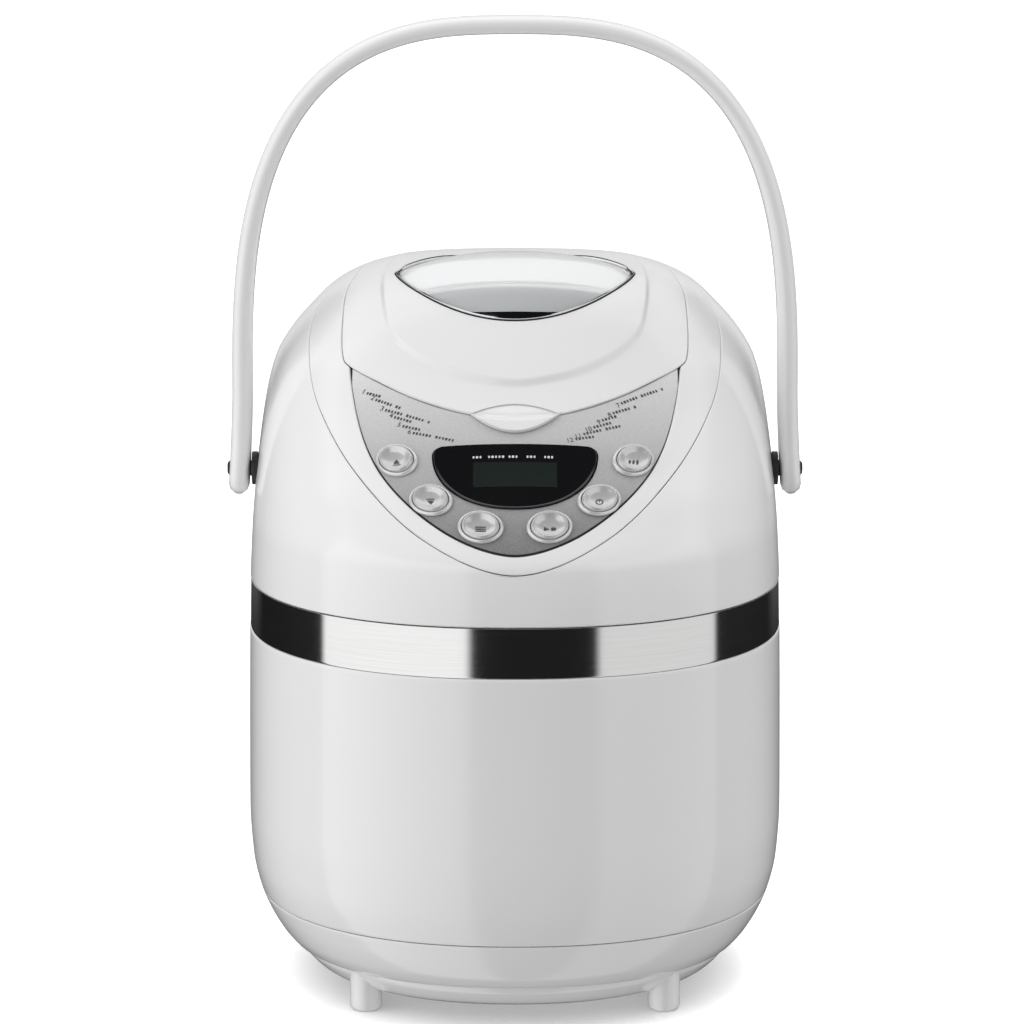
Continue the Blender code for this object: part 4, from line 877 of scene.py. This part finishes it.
def display():
    """Black lens with a raised rim, and the screen's clear area inside it."""
    rows = []
    levels = [(1.0, -0.0020), (1.0, 0.0000), (0.997, 0.0003), (0.993, 0.0004), (0.989, 0.0004),
              (0.985, 0.0003), (0.96, 0.0003)]
    for grow, height in levels + [(0.90 - 0.08 * k, 0.0003) for k in range(12)]:
        rows.append(on_panel(*lens_outline(grow).T) + PANEL_NORMAL * height)
    place("display_cover", skin(rows, sharp=60), LENS, "root", ["display_lens"])
    columns, lines = 42, 16
    x = np.linspace(-SCREEN_HALF, SCREEN_HALF, columns)
    top = [on_panel(x, SCREEN_LOW + (SCREEN_HIGH - SCREEN_LOW) * t) for t in np.linspace(0, 1, lines)]
    place("screen", plate_mesh(top, PANEL_NORMAL * 0.0001, PANEL_NORMAL * 0.00055), LCD, "root")


def rounded_box(x, up, width, high, corner):
    """Outline of a rectangle with round corners, in panel measures."""
    points = []
    for k, (sx, sy) in enumerate(((1, 1), (-1, 1), (-1, -1), (1, -1))):
        for turn in (0, 30, 60, 90):
            a = math.radians(90 * k + turn)
            points.append((x + sx * (width / 2 - corner) + corner * math.cos(a),
                           up + sy * (high / 2 - corner) + corner * math.sin(a)))
    return np.array(points)


def joined(meshes):
    work = bmesh.new()
    for mesh in meshes:
        work.from_mesh(mesh)
    result = bpy.data.meshes.new("joined")
    work.to_mesh(result)
    work.free()
    result.shade_flat()
    return result


def text_mesh(word, size):
    """Flat mesh of a numeral, centred at the origin."""
    curve = bpy.data.curves.new("numeral", "FONT")
    curve.body = word
    curve.size = size
    curve.extrude = INK_THICK
    curve.resolution_u = 3
    curve.align_x = "CENTER"
    curve.align_y = "CENTER"
    holder = in_scene("numeral", curve)
    mesh = final_mesh(holder)
    bpy.data.objects.remove(holder)
    return mesh


def flat_mesh(outline):
    """A thin plate of an outline of (x, y) points."""
    return skin([np.column_stack([outline, np.full(len(outline), z)]) for z in (-INK_THICK, INK_THICK)])


def bar_mesh(x, up, width, high):
    return flat_mesh(rounded_box(x, up, width, high, high * 0.3))


def lay_on_panel(mesh, x, up, height):
    """Bend a flat mesh onto the panel at a place."""
    co = np.zeros(len(mesh.vertices) * 3)
    mesh.vertices.foreach_get("co", co)
    co = co.reshape(-1, 3)
    laid = on_panel(co[:, 0] + x, co[:, 1] + up)
    laid = laid + PANEL_NORMAL * (height + co[:, 2:3])
    mesh.vertices.foreach_set("co", laid.ravel())
    return mesh


def word_bars(start, end, high):
    """Short dashes along a line on the panel, in groups like words."""
    (x0, up0), (x1, up1) = start, end
    length = math.hypot(x1 - x0, up1 - up0)
    slope = Matrix.Rotation(math.atan2(up1 - up0, x1 - x0), 4, "Z")
    made, at, k = [], 0.0, 0
    while at < length - DASH:
        mesh = bar_mesh(0.0, 0.0, DASH * (1.2 if k % 3 == 1 else 0.9), high)
        mesh.transform(slope)
        share = (at + DASH / 2) / length
        if k % 7 != 6:
            made.append((mesh, x0 + (x1 - x0) * share, up0 + (up1 - up0) * share))
        at += DASH + DASH_GAP
        k += 1
    return made


def panel_marks():
    """Programme numbers 1 to 12 with dashes after them, in two slanted columns."""
    marks = []
    height = 0.0001 - PANEL_SUNK
    for number, (x0, up0, x1, up1) in enumerate(LIST_ROWS, 1):
        slope = math.atan2(up1 - up0, x1 - x0)
        numeral = text_mesh(str(number), 0.0037)
        numeral.transform(Matrix.Rotation(slope, 4, "Z"))
        marks.append(lay_on_panel(numeral, x0 + 0.0008, up0, height))
        room = 0.0026 if number < 10 else 0.0036
        first = (x0 + room * math.cos(slope), up0 + room * math.sin(slope))
        for mesh, x, up in word_bars(first, (x1, up1), 0.0016):
            marks.append(lay_on_panel(mesh, x, up, height))
    place("panel_marks", joined(marks), INK, "root")
    labels = []
    for x, length in LABEL_BARS:
        for mesh, along, up in word_bars((x, 0.0196), (x + length, 0.0196), 0.0014):
            labels.append(lay_on_panel(mesh, along, up, 0.00045))
    place("display_marks", joined(labels), WHITE_INK, "root")


CAP_PROFILE = [(0.0002, 0.0008), (0.0024, 0.0009), (0.0046, 0.0013), (0.0062, 0.0020), (0.0072, 0.0026),
               (0.0079, 0.0028), (0.0085, 0.0022), (BUTTON_R, 0.0010), (BUTTON_R, -0.0030),
               (0.0030, -0.0034), (0.0030, -0.0080), (0.0002, -0.0080)]
RING_PROFILE = [(BUTTON_R + 0.0003, -0.0030), (BUTTON_R + 0.0003, 0.0008), (BUTTON_R + 0.0006, 0.0013),
                (TRIM_R - 0.0008, 0.0012), (TRIM_R - 0.0002, 0.0006), (TRIM_R, -0.0001), (TRIM_R, -0.0006),
                (BUTTON_R + 0.0010, -0.0007), (BUTTON_R + 0.0010, -0.0030)]
CAP_TOP = 7                         # profile points on the cap's dished top
SIGN_DROP = 0.0022                  # how far a sign sits below its cap's middle
BUTTON_TURNS = (34, 26, 10)         # slant of the long axis, from the outer button inwards
BUTTON_LONG, BUTTON_SHORT = 1.05, 0.83


def cap_height(radius):
    radii = [p[0] for p in CAP_PROFILE[:CAP_TOP]]
    return np.interp(radius, radii, [p[1] for p in CAP_PROFILE[:CAP_TOP]])


def oval(mesh, i):
    """Stretch a round part of button i along its slanted long axis."""
    centre, facing = button_places()[i - 1]
    lean = math.radians(BUTTON_TURNS[min(i, 7 - i) - 1]) * (-1 if i <= 3 else 1)
    across = np.cross(facing, np.cross((1.0, 0, 0), facing))
    across /= np.linalg.norm(across)
    upward = np.cross(facing, across)
    long_axis = across * math.cos(lean) + upward * math.sin(lean)
    short_axis = np.cross(facing, long_axis)
    for vertex in mesh.vertices:
        away = np.array(vertex.co) - centre
        vertex.co = (centre + away + long_axis * (away @ long_axis) * (BUTTON_LONG - 1)
                     + short_axis * (away @ short_axis) * (BUTTON_SHORT - 1))
    return mesh


def triangle(x, y, size, turn):
    around = math.radians(turn) + np.arange(3) * math.tau / 3
    return flat_mesh(np.column_stack([x + size * np.cos(around), y + size * np.sin(around)]))


def icon(number):
    """Simple signs for the buttons: triangles, bars, a ring and a square."""
    if number == 1:
        return [triangle(0, 0, 0.0020, 90), bar_mesh(0, -0.0020, 0.0040, 0.0006)]
    if number == 2:
        return [triangle(0, 0, 0.0020, -90), bar_mesh(0, 0.0020, 0.0040, 0.0006)]
    if number == 3:
        return [bar_mesh(0, y, 0.0052, 0.0007) for y in (-0.0014, 0.0, 0.0014)]
    if number == 4:
        return [triangle(-0.0018, 0, 0.0017, 0), bar_mesh(0.0018, 0, 0.0022, 0.0024)]
    if number == 5:
        corners = ((1, -INK_THICK), (1, INK_THICK), (0.7, INK_THICK), (0.7, -INK_THICK))
        ring = skin([circle((0, 0), 0.0020 * share, z, 24) for share, z in corners], True)
        return [ring, bar_mesh(0, 0.0007, 0.0005, 0.0014)]
    return [bar_mesh(x, 0, 0.0012, 0.0030 + 0.2 * x) for x in (-0.0020, 0.0, 0.0020)]


def buttons():
    """Caps with their signs, each on its own body, in fixed bright rings."""
    rings = {"left": [], "right": []}
    for i, (centre, facing) in enumerate(button_places(), 1):
        cap = oval(turned(rounded(CAP_PROFILE, 0.0004), centre, facing), i)
        place(f"button_cap_{i}", cap, CAP, f"button_{i}_body", [f"button_{i}"])
        ring = oval(turned(rounded(RING_PROFILE, 0.0003), centre, facing, closed=False), i)
        rings["left" if i <= 3 else "right"].append(ring)
        across = Vector((1, 0, 0))
        across = (across - Vector(facing) * across.dot(Vector(facing))).normalized()
        upward = Vector(facing).cross(across)
        marks = []
        for mesh in icon(i):
            for vertex in mesh.vertices:
                u, v, w = vertex.co
                v -= SIGN_DROP
                lift = float(cap_height(math.hypot(u, v))) + 0.00008 + w
                vertex.co = Vector(centre) + across * u + upward * v + Vector(facing) * lift
            marks.append(mesh)
        place(f"button_mark_{i}", oval(joined(marks), i), INK, f"button_{i}_body")
    for side, meshes in rings.items():
        mesh = joined(meshes)
        mesh.shade_smooth()
        mesh.set_sharp_from_angle(angle=math.radians(50))
        place(f"button_rings_{side}", mesh, RING, "root", [f"button_trim_{side}"])


# ---- carry handle
# radius and distance from the middle plane, from a pivot's outer head to its inner end
PIVOT_PROFILE = [(0.0002, 0.1466), (0.0026, 0.1466), (0.0034, 0.1460), (0.0040, 0.1450), (0.0040, 0.1340),
                 (0.0085, 0.1340), (0.0085, 0.1310), (0.0040, 0.1310), (0.0040, 0.1250),
                 (0.0080, 0.1250), (0.0080, 0.1220), (0.0002, 0.1220)]


def handle_centre(t):
    """Centre line from the left pivot over the top to the right pivot, t from -1 to 1."""
    side = math.copysign(1.0, t)
    if abs(t) > 1 - HANDLE_STRAIGHT:
        down = (abs(t) - 1 + HANDLE_STRAIGHT) / HANDLE_STRAIGHT
        z = HANDLE_SPRING + (HANDLE[2] - HANDLE_END - HANDLE_SPRING) * down
        return np.array((side * (HANDLE_HALF + HANDLE_LEAN * down**1.4), 0.0, z))
    angle = math.pi / 2 * abs(t) / (1 - HANDLE_STRAIGHT)
    power = 2 / HANDLE_POWER
    x = HANDLE_HALF * math.sin(angle) ** power
    rise = (HANDLE_TOP - HANDLE_SPRING) * max(0.0, math.cos(angle)) ** power
    return np.array((side * x, 0.0, HANDLE_SPRING + rise))


def grip():
    """Handle with a flat oval section, wider pads at its ends."""
    fine = np.array([handle_centre(t) for t in np.linspace(-1, 1, 1601)])
    line = resample(fine, 261, closed=False)
    tangent = np.gradient(line, axis=0)
    tangent /= np.linalg.norm(tangent, axis=1, keepdims=True)
    outward = np.stack([-tangent[:, 2], np.zeros(len(line)), tangent[:, 0]], 1)
    around = np.linspace(0, math.tau, 40, endpoint=False)
    c, s = np.cos(around), np.sin(around)
    r = (np.abs(c) ** 2.6 + np.abs(s) ** 2.6) ** (-1 / 2.6)
    end_z = HANDLE[2] - HANDLE_END
    rows = []
    for here, out in zip(line, outward):
        above = here[2] - end_z
        deep = HANDLE_DEEP + 0.0010 * np.clip((0.030 - above) / 0.015, 0, 1)
        tip = np.sqrt(max(0.0, 1 - (1 - min(1.0, above / 0.0085)) ** 2))
        slim = 1 - 0.10 * np.clip((above - 0.060) / 0.150, 0, 1)
        thick = HANDLE_THICK * slim * (0.35 + 0.65 * min(1.0, above / 0.004) ** 0.5)
        deep *= 0.30 + 0.70 * tip
        rows.append(here + np.outer(thick * r * c, out) + np.outer(deep * r * s, (0, 1, 0)))
    place("grip", skin(rows), LIT_GRIP_WHITE, "handle", ["carry_handle"])
    for side, name in ((-1, "left"), (1, "right")):
        place(f"pivot_{name}", turned(rounded(PIVOT_PROFILE, 0.0004), HANDLE, (side, 0, 0)), BLACK, "root",
              [f"handle_pivot_{name}"])


# ---- carried-over nodes
def carried_over():
    """Inner nodes keep their shape and get their finish."""
    finishes = {
        "lid_well": WELL, "lid_gasket": GASKET, "oven_chamber": ALUMINIUM,
        "heating_element": HEATER, "temperature_probe": STEEL, "bread_pan": COATING, "pan_foot": ALUMINIUM,
        "pan_bail": STEEL, "pan_shaft": STEEL, "pan_coupling": STEEL, "kneading_paddle": COATING,
        "lcd_module": LCD, "control_board": BOARD, "power_board": BOARD, "drive_belt": BELT,
        "large_pulley": BLACK, "mains_inlet": BLACK, "bearing_block": ALUMINIUM}
    for name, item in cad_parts.items():
        if item.hide_render:
            continue
        item.data.materials.clear()
        item.data.materials.append(finishes.get(name, STEEL))


# ---- studio
# what mirrored rays see: two side boxes, a roof and a back box in a dark room
LEFT_BOX, RIGHT_BOX, TOP_BOX, BACK_BOX, DARK_ROOM = 1.30, 0.95, 1.12, 0.72, 0.015
# what scattered rays see
KEY_LIGHT, RIM_LIGHT, SKY_LIGHT, ZENITH_LIGHT = 1.25, 0.90, 0.08, 1.30
FILL_LIGHT, GROUND_LIGHT, FLOOR_GLOW = 0.75, 0.12, 0.45
SHADOW_REACH, SHADOW_POWER = 0.022, 1.5
OVER = 2.0                          # an upper bound that no direction reaches
# windows of directions as from, to and softness: bearings in degrees, then heights and depths
LEFT_SIDE, RIGHT_SIDE, FRONT_SIDE = (-88.0, -14.3, 1.5), (29.4, 94.0, 1.5), (-150.0, 150.0, 6.0)
KEY_SIDE, RIM_SIDE = (-105.0, -38.0, 8.0), (70.0, 140.0, 8.0)
ROOF, BEHIND, BACK_RISE = (0.62, OVER, 0.06), (0.06, OVER, 0.08), (-0.12, OVER, 0.10)
SKY, ZENITH, ABOVE_GROUND = (0.45, OVER, 0.25), (0.90, OVER, 0.04), (-0.55, OVER, 0.20)
CAMERA_PLACE, CAMERA_TILT, CAMERA_LENS = (-0.0015, -2.2474, 0.6787), 11.07, 157.5


def pale_floor():
    bpy.ops.mesh.primitive_plane_add(size=60.0, location=(0, 0, 0))
    floor = bpy.context.object
    floor.name = "floor"
    pale = coated("pale_floor", 0.93, 0.95, (0.6, 0.7), 20.0, 0.0, None)
    floor.data.materials.append(pale)
    # the floor's own glow fades close under the machine, where its contact shadow lies
    clear = node(pale, "ShaderNodeAmbientOcclusion", {"Distance": SHADOW_REACH}).outputs["AO"]
    glow = math_of(pale, "MULTIPLY", math_of(pale, "POWER", clear, SHADOW_POWER), FLOOR_GLOW)
    feed(pale, "Emission Strength", glow)
    for rays in ("glossy", "diffuse", "transmission", "shadow"):
        setattr(floor, f"visible_{rays}", False)


def soft_light():
    """World light by direction: soft boxes for mirrored rays, an even glow for scattered ones."""
    world = bpy.data.worlds.new("studio")
    bpy.context.scene.world = world
    world.use_nodes = True
    world.node_tree.nodes.clear()

    def times(a, b):
        return math_of(world, "MULTIPLY", a, b)

    def total(first, *others):
        for other in others:
            first = math_of(world, "ADD", first, other)
        return first

    def rest_of(value):
        return math_of(world, "SUBTRACT", 1.0, value)

    def ramp(value, start, width):
        return math_of(world, "DIVIDE", math_of(world, "SUBTRACT", value, start), width, clamp=True)

    def part(value, low, high, soft):
        """1 between two bounds, with soft edges."""
        return times(ramp(value, low - soft, 2 * soft), ramp(high + soft, value, 2 * soft))

    direction = node(world, "ShaderNodeTexCoord").outputs["Generated"]
    x, y, z = node(world, "ShaderNodeSeparateXYZ", {0: direction}).outputs
    turn = times(math_of(world, "ARCTAN2", x, times(y, -1.0)), 180 / math.pi)
    above = part(z, *ROOF)
    back = times(rest_of(part(turn, *FRONT_SIDE)), times(part(z, *BACK_RISE), BACK_BOX))
    left, right = times(part(turn, *LEFT_SIDE), LEFT_BOX), times(part(turn, *RIGHT_SIDE), RIGHT_BOX)
    sides = total(left, right, back)
    roof = times(times(above, part(y, *BEHIND)), TOP_BOX)
    mirrored_light = total(times(sides, rest_of(above)), roof, DARK_ROOM)
    scattered_light = total(times(part(turn, *KEY_SIDE), KEY_LIGHT), times(part(turn, *RIM_SIDE), RIM_LIGHT),
                            times(part(z, *SKY), SKY_LIGHT), times(part(z, *ZENITH), ZENITH_LIGHT),
                            times(part(z, *ABOVE_GROUND), FILL_LIGHT - GROUND_LIGHT), GROUND_LIGHT)
    rays = node(world, "ShaderNodeLightPath").outputs
    light = total(times(mirrored_light, rays["Is Glossy Ray"]),
                  times(scattered_light, rest_of(rays["Is Glossy Ray"])))
    shown = total(times(light, rest_of(rays["Is Camera Ray"])), rays["Is Camera Ray"])
    background = node(world, "ShaderNodeBackground", {"Strength": shown})
    node(world, "ShaderNodeOutputWorld", {0: background.outputs[0]})


def camera():
    lens = bpy.data.cameras.new("camera")
    lens.sensor_width = 36.0
    lens.lens = CAMERA_LENS
    view = in_scene("camera", lens)
    view.location = CAMERA_PLACE
    tilt = math.radians(CAMERA_TILT)
    view.rotation_mode = "QUATERNION"
    view.rotation_quaternion = Vector((0, math.cos(tilt), -math.sin(tilt))).to_track_quat("-Z", "Y")
    bpy.context.scene.camera = view
    bpy.context.scene.view_settings.view_transform = "Standard"


casing_base()
feet()
casing_lower()
waist_band()
casing_upper()
lid_surround()
lid_tab(lid_shell())
lid_dish()
window()
control_plate()
display()
panel_marks()
buttons()
grip()
carried_over()
pale_floor()
soft_light()
camera()
